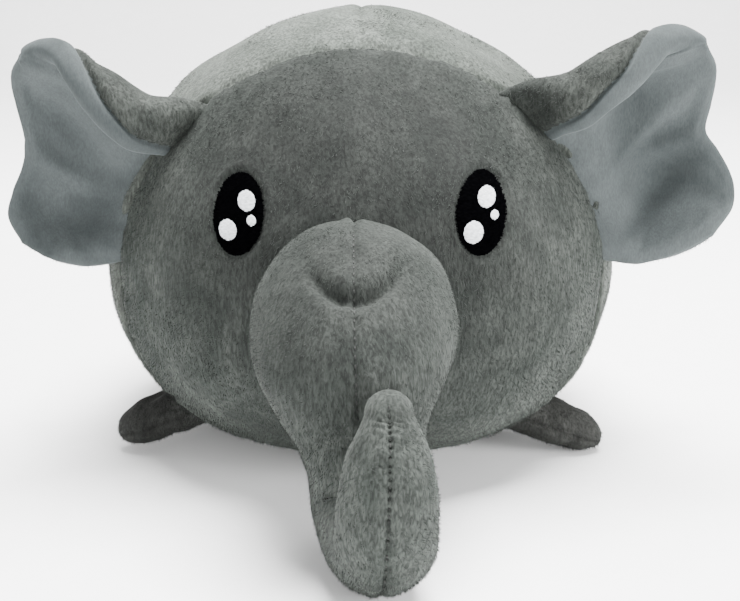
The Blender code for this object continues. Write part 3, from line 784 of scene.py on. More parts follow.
class StitchForm(NodeForm):
    """Short stitches at an even pitch along a line of points."""

    def __init__(self) -> None:
        """Builds the tree."""
        super().__init__("seam_stitches")
        pitch, length = self.value("Pitch"), self.value("Length")
        thick, finish = self.value("Thickness"), self.value("Finish", "NodeSocketMaterial")
        curve = self.add("GeometryNodeMeshToCurve", {"Mesh": self.entry.outputs[0]})
        even = self.add(
            "GeometryNodeResampleCurve", {"Curve": curve.outputs[0], "Length": pitch}, mode="LENGTH",
        )
        tangent = self.add("GeometryNodeInputTangent")
        turn = self.add("FunctionNodeAlignEulerToVector", {"Vector": tangent.outputs[0]}, axis="Z")
        stitch = self.add("GeometryNodeMeshUVSphere", {"Segments": 6, "Rings": 4, "Radius": 1.0})
        size = self.add("ShaderNodeCombineXYZ", {"X": thick, "Y": thick, "Z": length})
        laid = self.add("GeometryNodeInstanceOnPoints", {
            "Points": even.outputs[0], "Instance": stitch.outputs["Mesh"],
            "Rotation": turn.outputs[0], "Scale": size.outputs[0],
        })
        real = self.add("GeometryNodeRealizeInstances", {"Geometry": laid.outputs[0]})
        dyed = self.add("GeometryNodeSetMaterial", {"Geometry": real.outputs[0], "Material": finish})
        self.finish(dyed.outputs[0])


# Pieces -------------------------------------------------------------------------------------------
@dataclass
class Workroom:
    """What every sub-assembly needs: finishes, node forms and a note of what has been made."""

    finishes: Wardrobe
    pile: PileForm
    front_pile: PileForm
    dark_pile: PileForm
    satin: SatinForm
    stitches: StitchForm
    made: list[str] = field(default_factory=list)

    def place(
        self, piece: bpy.types.Object, slot: str, nodes: tuple[str, ...], fill: float | None = None,
    ) -> None:
        """Hides the CAD nodes that the piece stands for and notes the piece as made."""
        if nodes:
            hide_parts(*nodes)
        self.made.append(piece.name)
        log.info("%s: %d faces", piece.name, len(piece.data.polygons))

    def grow_pile(
        self, skin: bpy.types.Object, density: float, length: float, lean: float, seed: int,
        form: PileForm | None = None, width: float = 0.00012,
    ) -> bpy.types.Object:
        """Scatters loose pile over a finished skin.

        Args:
            skin: The skin, with its final mesh.
            density: Fibres to a square metre.
            length: Fibre length.
            lean: How far the fibres lie down.
            seed: Seed of the scatter.
            form: The shades to use, the plain grey ones by default.
            width: Radius of a fibre's foot.
        """
        made = (form or self.pile).grow(skin, f"{skin.name}_pile", {
            "Density": density, "Length": length, "Width": width, "Lean": lean, "Seed": seed,
        })
        self.made.append(made.name)
        log.info("%s: %d faces", made.name, len(made.data.polygons))
        return made


@dataclass(frozen=True)
class BodyForm:
    """The body's outer surface: a ball that comes to a soft peak, with a full, pressed base."""

    width: float = 0.240
    depth: float = 0.232
    crown: float = 0.110
    base: float = 0.098
    squash: float = 0.004
    crown_power: float = 1.85
    base_power: float = 2.5
    seam_ahead: float = 0.049
    belly_level: float = 0.014

    @property
    def waist(self) -> float:
        """The widest level."""
        return self.base - self.squash

    def shape_at(self, z: Array) -> tuple[Array, Array]:
        """The reach and the power that hold above or below the widest level."""
        high = z > self.waist
        return np.where(high, self.crown, self.base), np.where(high, self.crown_power, self.base_power)

    def share_at(self, z: Array) -> Array:
        """The square of the body's size at this level, as a share of its widest."""
        reach, power = self.shape_at(z)
        return np.maximum(0.0, 1 - np.abs((z - self.waist) / reach) ** power) ** (2 / power)

    def front(self, x: Array, z: Array) -> Array:
        """The front surface's place on Y."""
        left = np.maximum(0.0, self.share_at(z) - (x / (self.width / 2)) ** 2)
        return -self.depth / 2 * np.sqrt(left)

    def side(self, y: Array, z: Array) -> Array:
        """How far to the side the body reaches."""
        return self.width / 2 * np.sqrt(np.maximum(0.0, self.share_at(z) - (y / (self.depth / 2)) ** 2))

    def normal(self, points: Array) -> Array:
        """The directions that look out of the surface."""
        x, y, z = np.moveaxis(points, -1, 0)
        reach, power = self.shape_at(z)
        a, c = self.width / 2, self.depth / 2
        flat = np.maximum((x / a) ** 2 + (y / c) ** 2, 1e-9)
        rise = (z - self.waist) / reach
        pull = power / 2 * flat ** (power / 2 - 1) * 2
        up = power * np.abs(rise) ** (power - 1) * np.sign(rise) / reach
        return unit(np.stack([pull * x / a**2, pull * y / c**2, up], axis=-1))

    def ring(self, y: Array, turn: Array) -> Array:
        """Points of the ring at this depth. turn is 0 at its top and positive towards +X."""
        low, high = np.zeros_like(y * turn), np.full_like(y * turn, RING_REACH)
        for _ in range(RING_HALVINGS):
            radius = (low + high) / 2
            x, z = radius * np.sin(turn), self.waist + radius * np.cos(turn)
            inside = (x / (self.width / 2)) ** 2 + (y / (self.depth / 2)) ** 2 <= self.share_at(z)
            low, high = np.where(inside, radius, low), np.where(inside, high, radius)
        return np.stack([low * np.sin(turn), y + 0 * turn, self.waist + low * np.cos(turn)], axis=-1)

    def last_turn(self, y: Array) -> Array:
        """How far round its ring a panel goes before it meets the belly's seam."""
        side = self.side(y, np.full_like(y, self.belly_level))
        return np.pi - np.arctan2(side, self.waist - self.belly_level)


@dataclass(frozen=True)
class Tuck:
    """A fold that starts at the face's seam. turn is its place round the seam."""

    turn: float
    length: float
    depth: float
    width: float
    slant: float = 0.0


@dataclass
class StuffedBody:
    """The round body: a face panel, two back panels and a belly panel, sewn along grooves."""

    room: Workroom
    form: BodyForm = field(default_factory=BodyForm)
    groove: float = 0.0023
    groove_width: float = 0.0017
    ridge: float = 0.0011
    slack: float = 0.0010
    cap: float = 0.0042
    lumps: Lumps = Lumps(0.052, 0.0008, 5)
    ripples: Lumps = Lumps(0.0085, 0.00042, 9)
    tucks: tuple[Tuck, ...] = (
        Tuck(-0.62, 0.013, 0.0032, 0.0012, 0.10),
        Tuck(-0.55, 0.009, 0.0020, 0.0010, -0.06),
        Tuck(-0.30, 0.006, 0.0010, 0.0011),
        Tuck(0.12, 0.006, 0.0009, 0.0012),
        Tuck(0.42, 0.010, 0.0018, 0.0012, -0.05),
        Tuck(0.66, 0.024, 0.0026, 0.0013, 0.05),
        Tuck(0.73, 0.012, 0.0016, 0.0011, 0.12),
        Tuck(1.95, 0.012, 0.0018, 0.0014),
        Tuck(2.25, 0.010, 0.0014, 0.0013),
        Tuck(-1.90, 0.014, 0.0018, 0.0014),
        Tuck(-2.20, 0.010, 0.0016, 0.0013),
    )
    moves: Array | None = None

    def settle(self) -> None:
        """Lets the stuffing push the panels out between their seams."""
        rows, columns = 34, 44
        alpha = np.radians(np.linspace(-SETTLE_SPAN, SETTLE_SPAN, rows))[:, None] + np.zeros(columns)
        turn = np.linspace(0, 2 * np.pi, columns, endpoint=False)[None, :] + np.zeros((rows, 1))
        points = self.form.ring(self.form.depth / 2 * np.sin(alpha), turn)
        near_face = bell(points[..., 1] + self.form.seam_ahead, 0.006)
        near_centre = bell(points[..., 0], 0.006) * (points[..., 1] > -self.form.seam_ahead)
        resting = 1 - ease(points[..., 2], self.form.belly_level, self.form.belly_level + 0.012)
        pinned = np.clip(near_face + near_centre + resting, 0, 1)
        self.moves = settle(points, pinned, 4.0, self.cap)

    def pushed(self, alpha: Array, turn: Array) -> Array:
        """The stuffing's push at these places."""
        rows = (np.degrees(alpha) + SETTLE_SPAN) / (2 * SETTLE_SPAN)
        return resample(self.moves, rows, (turn / (2 * np.pi)) % 1.0, wrap=True)

    def relief(self, points: Array, normals: Array, on_face: bool) -> Array:
        """How far the cloth stands over the plain form, for seams, folds and lumps.

        Args:
            points: Places on the plain form.
            normals: Its outward directions there.
            on_face: Whether this is the face panel, which has the folds and the rings round the eyes.

        Returns:
            The height over each place.
        """
        x, y, z = np.moveaxis(points, -1, 0)
        from_face = (y + self.form.seam_ahead) / np.sqrt(np.maximum(0.04, 1 - normals[..., 1] ** 2))
        from_belly = (z - self.form.belly_level) / np.sqrt(np.maximum(0.04, 1 - normals[..., 2] ** 2))
        nearest = np.minimum(np.abs(from_face), np.abs(from_belly))
        shallow = 1 - 0.60 * ease(z, 0.150, 0.185)
        height = -self.groove * shallow * bell(nearest, self.groove_width)
        height += self.ridge * shallow * bell(nearest - 0.0055, 0.0036)
        if not on_face:
            height -= 0.20 * self.groove * bell(x, 0.0012)
            height += 0.15 * self.ridge * bell(np.abs(x) - 0.0045, 0.0030)
            nearest = np.minimum(nearest, np.abs(x) + 0.003)
        height += self.ripples.at(points) * np.exp(-nearest / 0.007)
        height += self.lumps.at(points) * (1 - bell(nearest, 0.008))
        if on_face:
            turn = np.arctan2(x, z - self.form.waist)
            for tuck in self.tucks:
                along = np.abs(from_face)
                aside = (turn - tuck.turn) * 0.104 - tuck.slant * along
                fade = np.exp(-along / tuck.length) * ease(along, 0.0, 0.003)
                height -= tuck.depth * bell(aside, tuck.width) * fade
                swell = bell(np.abs(aside) - 2.4 * tuck.width, 1.6 * tuck.width)
                height += 0.40 * tuck.depth * swell * fade
            crease = bell(x + 0.0405 - 0.1 * (z - 0.044), 0.0008) * bell(z - 0.044, 0.0042)
            height -= 0.0011 * crease
            for side, level, lean in EYE_PLACES:
                across = (x - side) * math.cos(lean) - (z - level) * math.sin(lean)
                upward = (x - side) * math.sin(lean) + (z - level) * math.cos(lean)
                out = np.sqrt((across / EYE_SIZE[0]) ** 2 + (upward / EYE_SIZE[1]) ** 2)
                height += 0.0011 * bell(out - 1.17, 0.085) - 0.0006 * bell(out - 0.98, 0.05)
        return height

    def skin(self, alpha: Array, turn: Array, on_face: bool) -> Array:
        """Finished points at these places round the body.

        Args:
            alpha: The angle from the front to the rear, -90 to 90 degrees, in radians.
            turn: The angle round the ring.
            on_face: Whether this is the face panel.

        Returns:
            The points.
        """
        points = self.form.ring(self.form.depth / 2 * np.sin(alpha), turn)
        normals = self.form.normal(points)
        height = self.relief(points, normals, on_face) - self.slack
        return points + self.pushed(alpha, turn) + normals * height[..., None]

    def face_places(self) -> tuple[Array, Array]:
        """The face panel's rows from its seam to its middle, and its columns."""
        start = math.asin(self.form.seam_ahead / (self.form.depth / 2))
        share = np.linspace(0, 1, 101) ** 1.5
        alpha = -(start + (math.pi / 2 - start) * share)[:, None] + np.zeros(221)
        last = self.form.last_turn(self.form.depth / 2 * np.sin(alpha))
        return alpha, last * (2 * spaced(220, 0.45) - 1)

    def back_places(self, side: Side) -> tuple[Array, Array]:
        """A back panel's rows from the face's seam to the rear, and its columns."""
        start = math.asin(self.form.seam_ahead / (self.form.depth / 2))
        share = np.linspace(0, 1, 131) ** 1.35
        alpha = (-start + (math.pi / 2 + start) * share)[:, None] + np.zeros(131)
        last = self.form.last_turn(self.form.depth / 2 * np.sin(alpha))
        return alpha, side.value * last * spaced(130, 0.75)

    def belly(self) -> Array:
        """The belly panel's points, rings from its middle outwards."""
        level = self.form.share_at(np.array(self.form.belly_level))
        round_turn = np.linspace(0, 2 * np.pi, 120, endpoint=False)[None, :]
        share = (1 - (1 - np.linspace(0, 1, 41)) ** 1.4)[:, None]
        x = share * self.form.width / 2 * np.sqrt(level) * np.cos(round_turn)
        y = share * self.form.depth / 2 * np.sqrt(level) * np.sin(round_turn)
        flat = (x / (self.form.width / 2)) ** 2 + (y / (self.form.depth / 2)) ** 2
        drop = (1 - flat ** (self.form.base_power / 2)) ** (1 / self.form.base_power)
        z = self.form.waist - self.form.base * drop
        points = np.stack([x, y, z], axis=-1)
        normals = self.form.normal(points)
        from_belly = (self.form.belly_level - z) / np.sqrt(np.maximum(0.04, 1 - normals[..., 2] ** 2))
        height = -self.groove * bell(from_belly, self.groove_width)
        height += self.ripples.at(points) * np.exp(-from_belly / 0.007)
        points = points + normals * (height - self.slack)[..., None]
        points[..., 2] = np.maximum(points[..., 2], FLOOR_GAP)
        return points

    def sew(
        self, name: str, points: Array, finish: bpy.types.Material, wrap: bool = False,
    ) -> bpy.types.Object:
        """Makes one panel from its grid of points.

        Args:
            name: The panel's name.
            points: Its points in rows and columns.
            finish: Its cloth.
            wrap: Whether the last column meets the first.

        Returns:
            The panel, riding on the body.
        """
        made = make_object(name, points, grid_faces(*points.shape[:2], wrap))
        aim_outwards(made, lambda middles: middles - np.array([0, 0, self.form.waist]))
        dress(made, finish)
        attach(made, "body")
        return made

    def build(self) -> bpy.types.Object:
        """Makes every panel, grows pile on the face and back panels, and returns the face panel."""
        self.settle()
        finishes = self.room.finishes
        alpha, turn = self.face_places()
        face = self.sew("face_panel_plush", self.skin(alpha, turn, True), finishes.face)
        self.room.place(face, "plush", ("face_panel", "body_stuffing"), fill=0.85)
        panels = [(face, 21)]
        for side in Side:
            alpha, turn = self.back_places(side)
            panel = self.sew(
                f"back_panel_{side.word}_plush", self.skin(alpha, turn, False), finishes.back,
            )
            self.room.place(panel, "plush", (f"back_panel_{side.word}",), fill=0.85)
            panels.append((panel, 30 + side.value))
        belly = self.sew("belly_panel_plush", self.belly(), finishes.back, wrap=True)
        self.room.place(belly, "plush", ("belly_panel",), fill=0.85)
        for panel, seed in panels:
            # The face gets the darker pile, painted shade like its plush; the back panels get the
            # lighter pile.
            form = self.room.front_pile if panel is face else self.room.pile
            pile = self.room.grow_pile(panel, PILE_DENSITY, PILE_LENGTH, PILE_LEAN, seed, form)
            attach(pile, "body")
        return face


@dataclass
class Trunk:
    """The snout, the hanging trunk and its curled tip, as one tube that is skinned in two pieces."""

    room: Workroom
    form: BodyForm = field(default_factory=BodyForm)
    snout_height: float = 0.0885
    snout_radius: float = 0.0420
    underside: float = 0.020
    reach: float = 0.030
    hang_radius: float = 0.0265
    tube_radius: float = 0.0205
    bend_radius: float = 0.0235
    tip_radius: float = 0.0175
    tip_rise: float = 0.0415
    tip_lean: float = 0.013
    snout_shift: float = -0.003
    swing_level: float = 0.051
    groove: float = 0.0009
    crease_level: float = 0.1112
    crease_depth: float = 0.0056
    stitch_pitch: float = 0.0033
    lumps: Lumps = Lumps(0.034, 0.0004, 14)
    ripples: Lumps = Lumps(0.006, 0.00030, 15)
    first: float = 0.3
    join: float = 4.55
    last: float = 9.0
    station_step: float = 0.0215
    stations: Array | None = None
    moves: Array | None = None

    def lay_out(self) -> None:
        """Sets the stations along the centre line.

        Each is a place, then the half widths to the side, the front and the rear.
        """
        face = -float(self.form.front(np.array(0.0), np.array(self.snout_height)))
        hang = face + self.reach
        bend = self.bend_radius + self.tube_radius + FLOOR_GAP
        ahead, rise = hang + self.bend_radius, hang + 2 * self.bend_radius
        half = self.bend_radius * math.sin(math.pi / 4)
        lean, snout, tube, tip = self.tip_lean, self.snout_radius, self.tube_radius, self.tip_radius
        shift, under, height = self.snout_shift, self.underside, self.snout_height
        rows = [
            (shift, face - 0.016, height, snout * 0.97, snout * 0.97, under),
            (shift, face + 0.004, height - 0.002, snout, snout, under),
            (shift * 0.8, hang - 0.007, height - 0.014, snout * 0.90, snout * 0.92, under),
            (0.0, hang, self.swing_level, self.hang_radius, self.hang_radius, self.hang_radius * 0.94),
            (
                lean * 0.15, hang + self.bend_radius - half, bend - half, tube * 1.06, tube * 1.06,
                tube * 1.06,
            ),
            (lean * 0.40, ahead, bend - self.bend_radius, tube, tube, tube * 0.98),
            (
                lean * 0.62, rise - self.bend_radius + half, bend - half, tube * 0.97, tube * 0.95,
                tube * 0.82,
            ),
            (lean * 0.72, rise, bend + 0.004, tip * 1.05, tip, tip),
            (
                lean * 0.76, rise - 0.001, bend + self.tip_rise * 0.50, tip * 0.86, tip * 0.80,
                tip * 0.80,
            ),
            (
                lean * 0.74, rise - 0.004, bend + self.tip_rise * 0.82, tip * 0.55, tip * 0.55,
                tip * 0.55,
            ),
        ]
        self.stations = np.array(rows)
        self.stations[:, 1] *= -1

    def centre(self, place: Array) -> Array:
        """The centre line."""
        return spline(self.stations[:, :3], place)

    def tube(self, place: Array, turn: Array) -> Array:
        """The plain tube. Past the last station it closes in a round end.

        Args:
            place: Where along the trunk, counted in stations.
            turn: The angle round it.

        Returns:
            The points.
        """
        on_line = np.minimum(place, self.last)
        tilt = np.clip(place - self.last, 0, 1) * math.pi / 2
        step = 0.02
        ahead = np.minimum(on_line + step, self.last)
        along = unit(self.centre(ahead) - self.centre(ahead - 2 * step))
        front = unit(np.cross(along, np.array([1.0, 0.0, 0.0])))
        across = unit(np.cross(front, along))
        width, to_front, to_rear = np.moveaxis(spline(self.stations[:, 3:], on_line), -1, 0)
        upward = np.where(np.sin(turn) > 0, to_front, to_rear) * np.sin(turn)
        ring = across * (width * np.cos(turn))[..., None] + front * upward[..., None]
        end = along * (width * np.sin(tilt))[..., None]
        return self.centre(on_line) + ring * np.cos(tilt)[..., None] + end

    def normal(self, place: Array, turn: Array) -> Array:
        """The directions that look out of the tube."""
        small = 0.01
        around = self.tube(place, turn + small) - self.tube(place, turn - small)
        low = np.maximum(place - small, 0)
        high = np.minimum(place + small, self.last + 0.999)
        along = self.tube(high, turn) - self.tube(low, turn)
        out = unit(np.cross(around, along))
        middle = self.centre(np.minimum(place, self.last))
        flip = np.sign(((self.tube(place, turn) - middle) * out).sum(axis=-1, keepdims=True))
        return out * np.where(flip == 0, 1, flip)

    def settle(self) -> None:
        """Lets the stuffing push the skins out between the seam in front and the seam behind."""
        rows, columns = 40, 32
        place = np.linspace(self.first, self.last, rows)[:, None] + np.zeros(columns)
        turn = np.linspace(0, 2 * np.pi, columns, endpoint=False)[None, :] + np.zeros((rows, 1))
        at_seam = bell(np.cos(turn), 0.16)
        at_ends = 1 - ease(place, self.first, 1.0) + ease(place, self.last - 0.6, self.last)
        self.moves = settle(self.tube(place, turn), np.clip(at_seam + at_ends, 0, 1), 3.0, 0.0022)

    def relief(self, place: Array, turn: Array, points: Array) -> Array:
        """How far the cloth stands over the plain tube.

        Args:
            place: Where along the trunk.
            turn: The angle round it.
            points: The plain points there.

        Returns:
            The height over each place.
        """
        radius = spline(self.stations[:, 3], np.minimum(place, self.last))
        aside = radius * np.cos(turn)
        front = np.sin(turn) > 0
        deep = self.groove * np.where(front, 1.0, 0.75)
        height = -deep * bell(aside, 0.0010) + 0.35 * deep * bell(np.abs(aside) - 0.0030, 0.0020)
        run = place * self.station_step / self.stitch_pitch * 2 * np.pi
        arm = ease(place, 5.2, 5.8)
        at_stitch = (0.5 + 0.5 * np.cos(run)) ** 2
        height -= np.where(front, 0.0, 0.0013) * arm * bell(aside, 0.0009) * at_stitch
        pucker = 0.00028 * ease(place, 7.0, 8.4) * np.sin(run * 0.83 + 9 * aside / radius)
        pucker = pucker * bell(np.abs(aside) - 0.0032, 0.0022)
        height += np.where(front, 0.0, pucker)
        height += self.lumps.at(points) + self.ripples.at(points) * bell(aside, 0.006)
        return height + self.crease(points, front, place)

    def crease(self, points: Array, front: Array, place: Array) -> Array:
        """The smile-shaped fold where the snout turns down.

        Args:
            points: The plain points.
            front: Whether each is on the front.
            place: Where along the trunk.

        Returns:
            The height over each place.
        """
        x = points[..., 0] - self.snout_shift
        level = self.crease_level + 0.0040 * (x / 0.0155) ** 2
        below = points[..., 2] - level
        window = np.exp(-((x / 0.0170) ** 4)) * front * (place < 3.2)
        fold = -self.crease_depth * bell(np.where(below > 0, below * 0.62, below), 0.0019)
        swell = 0.0006 * bell(below + 0.0070, 0.0050) + 0.0006 * bell(below - 0.0070, 0.0040)
        return window * (fold + swell)

    def skin(self, place: Array, turn: Array, tucked: Array | float = 0.0) -> Array:
        """Finished points at these places along and round the trunk, tucked in by this much.

        Args:
            place: Where along the trunk.
            turn: The angle round it.
            tucked: How far the skin is tucked in.

        Returns:
            The points.
        """
        points = self.tube(place, turn)
        share = (np.minimum(place, self.last) - self.first) / (self.last - self.first)
        pushed = resample(self.moves, share, (turn / (2 * np.pi)) % 1.0, wrap=True)
        fade = (1 - ease(place, self.last - 0.2, self.last + 0.6))[..., None]
        height = self.relief(place, turn, points) * fade[..., 0] - 0.0006 - tucked
        moved = points + pushed * fade + self.normal(place, turn) * height[..., None]
        moved[..., 2] = np.maximum(moved[..., 2], FLOOR_GAP)
        return moved

    def sew(
        self, name: str, first: float, last: float, rows: int, hem: float = 0.0,
    ) -> bpy.types.Object:
        """Makes one length of the trunk's skin, with a hem that tucks under the next length.

        Args:
            name: The piece's name.
            first: Where it starts.
            last: Where it ends.
            rows: Rows of points.
            hem: How much further the hem goes.

        Returns:
            The skin.
        """
        columns = 132
        turn = np.linspace(0, 2 * np.pi, columns, endpoint=False)[None, :]
        turn = turn + 0.21 * np.sin(2 * turn) + np.zeros((rows, 1))
        place = np.linspace(first, last + hem, rows)[:, None] + np.zeros(columns)
        tucked = 0.0004 * np.clip((place - last) / max(hem, 0.001), 0, 1) if hem else 0.0
        made = make_object(name, self.skin(place, turn, tucked), grid_faces(rows, columns, True))
        dress(made, self.room.finishes.trunk)
        return made

    def seam_line(self, first: float, last: float, turn: float, lift: float) -> bpy.types.Object:
        """A line of points along a seam, for its stitches.

        Args:
            first: Where it starts.
            last: Where it ends.
            turn: The seam's angle round the trunk.
            lift: How far the line stands off the skin.

        Returns:
            The line's object.
        """
        place = np.linspace(first, last, 160)
        turns = np.full_like(place, turn)
        points = self.skin(place, turns) + self.normal(place, turns) * lift
        mesh = bpy.data.meshes.new("seam_line")
        mesh.from_pydata(points.tolist(), [(i, i + 1) for i in range(len(points) - 1)], [])
        made = bpy.data.objects.new("seam_line", mesh)
        bpy.context.scene.collection.objects.link(made)
        return made

    def build(self) -> None:
        """Makes the snout, the tip, their pile and their stitches."""
        self.lay_out()
        self.settle()
        pivot = self.centre(np.array(3.0))
        upper = self.sew("snout_plush", 0.35, self.join, 190, hem=0.10)
        lower = self.sew("trunk_tip_plush", self.join, self.last + 1.0, 170)
        self.room.place(upper, "plush", (
            "snout_skin_left", "snout_skin_right", "snout_stuffing",
            "trunk_skin_left", "trunk_skin_right", "trunk_stuffing",
        ), fill=0.8)
        self.room.place(lower, "plush", (
            "trunk_tip_skin_left", "trunk_tip_skin_right", "trunk_tip_stuffing",
        ), fill=0.8)
        upper_pile = self.room.grow_pile(
            upper, PILE_DENSITY, PILE_LENGTH, PILE_LEAN, 51, self.room.front_pile,
        )
        lower_pile = self.room.grow_pile(
            lower, PILE_DENSITY, PILE_LENGTH, PILE_LEAN, 52, self.room.front_pile,
        )
        stitches = []
        for name, first, last, turn in (
            ("trunk_front_stitches", 0.9, self.join - 0.05, math.pi / 2),
            ("trunk_tip_stitches", 5.0, self.last + 0.3, -math.pi / 2),
        ):
            line = self.seam_line(first, last, turn, 0.00015)
            made = self.room.stitches.grow(line, name, {
                "Pitch": self.stitch_pitch, "Length": 0.0008, "Thickness": 0.00042,
                "Finish": self.room.finishes.seam,
            })
            bpy.data.objects.remove(line)
            self.room.made.append(name)
            stitches.append(made)
        for piece in (upper, upper_pile, stitches[0]):
            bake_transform(piece)
        for piece in (lower, lower_pile, stitches[1]):
            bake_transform(piece)


@dataclass(frozen=True)
class EarPattern:
    """The outline of one ear as side and level, in metres.

    A fold is (s, t, slope, height, width): where it is on the leaf, how it slants, and its size.
    """

    base: tuple[tuple[float, float], ...]
    rim: tuple[tuple[float, float], ...]
    ridge: tuple[tuple[float, float], ...]
    root_bottom: float
    folds: tuple[tuple[float, float, float, float, float], ...]


@dataclass
class Ear:
    """A padded leaf sewn into the face's seam, with its top rolled forwards over the inner face."""

    room: Workroom
    side: Side
    pattern: EarPattern
    form: BodyForm = field(default_factory=BodyForm)
    curl_radius: float = 0.0080
    curl_drop: float = 0.0150
    curl_turn: float = 165.0
    curl_fade: float = 135.0
    dish: float = 0.017
    padding: float = 0.0050
    strip: tuple[float, float] = (0.0040, 0.0130)
    root_inset: float = 0.0075
    leaf_width: float = 0.050
    leaf_height: float = 0.085
    hinge_level: float = 0.127
    hinge_start: float = -0.002
    hinge_end: float = 0.0135
    hinge_rise: float = 0.0075
    settle_rows: tuple[float, float] = (0.02, 0.97)
    settle_columns: int = 56
    moves: Array | None = None

    def turned(self, s: Array) -> Array:
        """How far the top rolls over, as an angle."""
        return np.radians(self.curl_turn - self.curl_fade * ease(s, 0.50, 1.0))

    def drop(self, s: Array) -> Array:
        """How far the roll's end hangs down past its arc."""
        return self.curl_drop * (1 - s**2)

    def arc(self, s: Array) -> Array:
        """The whole length of the rolled part."""
        return self.curl_radius * self.turned(s) + self.drop(s)

    def ridge(self, s: Array) -> Array:
        """The line where the roll begins, below the top of the outline."""
        points = np.array(self.pattern.ridge)
        line = spline(points, s * (len(points) - 1))
        lower = self.curl_radius * np.sin(np.minimum(self.turned(s), np.pi / 2))
        lower = lower + self.padding * (1 - ease(s, 0.6, 1.0))
        return line - np.stack([-0.0032 * ease(s, 0.72, 1.0), lower], axis=-1)

    def root(self, t: Array) -> Array:
        """The line where the leaf meets the body, a little inside it."""
        top = float(self.ridge(np.array(0.0))[1])
        level = self.pattern.root_bottom + (top - self.pattern.root_bottom) * t
        side = self.form.side(np.full_like(t, self.form.seam_ahead), level) - self.root_inset
        return np.stack([side, level], axis=-1)

    def outline(self, s: Array, t: Array) -> Array:
        """Side and level of the flat part, s from root to rim, t from bottom to ridge.

        Args:
            s: Shares from the root to the rim.
            t: Shares from the bottom to the ridge.

        Returns:
            The side and level.
        """
        rim_points = np.array(self.pattern.rim)
        low = self.root(np.zeros_like(s))
        base_points = np.array(self.pattern.base)
        base = spline(np.vstack([low.reshape(-1, 2)[0], base_points]), s * len(base_points))
        ridge = self.ridge(s)
        rim = spline(rim_points, t * (len(rim_points) - 1))
        rim = rim + (self.ridge(np.ones_like(t)) - rim_points[-1]) * ease(t, 0.6, 1.0)[..., None]
        root = self.root(t)
        s2, t2 = s[..., None], t[..., None]
        corners = (
            (1 - s2) * (1 - t2) * self.root(np.zeros_like(s)) + s2 * (1 - t2) * rim_points[0]
            + (1 - s2) * t2 * self.root(np.ones_like(s)) + s2 * t2 * self.ridge(np.ones_like(s))
        )
        return (1 - s2) * root + s2 * rim + (1 - t2) * base + t2 * ridge - corners

    def sheet(self, s: Array, t: Array) -> Array:
        """The leaf's middle sheet. Past t = 1 it rolls forwards and down.

        Args:
            s: Shares from the root to the rim.
            t: From 0 at the bottom to 1 at the ridge and 2 at the roll's end.

        Returns:
            The points.
        """
        flat = np.minimum(t, 1.0)
        plane = self.outline(s, flat)
        hollow = np.sin(np.pi * np.minimum(1.0, 0.06 + s * 0.80))
        dish = self.dish * np.sin(np.pi * flat) ** 0.8 * hollow
        place = np.stack([plane[..., 0], -self.form.seam_ahead + dish, plane[..., 1]], axis=-1)
        rise = self.outline(s, np.ones_like(s)) - self.outline(s, np.full_like(s, 0.96))
        sewn = 1 - ease(s, 0.0, 0.32)
        up = unit(np.stack([rise[..., 0] * 0.5 * (1 - sewn), 0 * s, rise[..., 1]], axis=-1))
        forward = np.array([0.0, -1.0, 0.0]) * (1 - 0.85 * sewn)[..., None]
        foot_y, foot_z = place[..., 1].copy(), place[..., 2].copy()
        turned, arc = self.turned(s), self.curl_radius * self.turned(s)
        run = np.maximum(t - 1.0, 0.0) * self.arc(s)
        angle = np.minimum(run, arc) / self.curl_radius
        place = place + up * (self.curl_radius * np.sin(angle))[..., None]
        place = place + forward * (self.curl_radius * (1 - np.cos(angle)))[..., None]
        beyond = np.maximum(0.0, run - arc)[..., None]
        place = place + (up * np.cos(turned)[..., None] + forward * np.sin(turned)[..., None]) * beyond
        follow = self.form.side(place[..., 1], place[..., 2]) - self.form.side(foot_y, foot_z)
        place[..., 0] += follow * sewn * (t > 1)
        return place

    def normal(self, s: Array, t: Array) -> Array:
        """The direction that looks out of the sheet's inner, forward face."""
        small = 0.012
        across = self.sheet(np.minimum(1, s + small), t) - self.sheet(np.maximum(0, s - small), t)
        upward = self.sheet(s, np.minimum(2, t + small)) - self.sheet(s, np.maximum(0, t - small))
        return unit(np.cross(across, upward))

    def thickness(self, s: Array, t: Array) -> Array:
        """Half the padding's thickness, down to nothing at every free rim."""
        from_rim = (1 - s) * self.leaf_width
        from_bottom = t * self.leaf_height
        from_end = np.where(t > 1, (2 - t) * self.arc(s), 1.0)
        nearest = np.minimum(np.minimum(from_rim, from_bottom), from_end)
        share = np.clip(nearest / 0.0085, 0.0, 1.0)
        flat = 1 - 0.65 * (1 - ease(s, 0.0, 0.30)) * ease(t, 0.55, 0.80)
        return self.padding * flat * np.sqrt(np.maximum(0.0, share * (2 - share)))

    def section(self, s: Array, ring: Array) -> tuple[Array, Array]:
        """Place and lift over the sheet. ring goes 0 to 1 over the inner face and back to 2 behind."""
        inner = ring <= 1.0
        t = 2 * np.where(inner, ring, 2 - ring)
        return t, np.where(inner, 1.0, -1.0) * self.thickness(s, t)

    def plain(self, s: Array, ring: Array) -> Array:
        """Points of the padded leaf before its details."""
        t, lift = self.section(s, ring)
        return self.sheet(s, t) + self.normal(s, t) * lift[..., None]

    def from_seam(self, s: Array, t: Array) -> Array:
        """How far a place on the roll lies behind the seam of the two fabrics."""
        strip = self.strip[0] + (self.strip[1] - self.strip[0]) * ease(s, 0.0, 0.85)
        return (2 - t) * self.arc(s) - strip

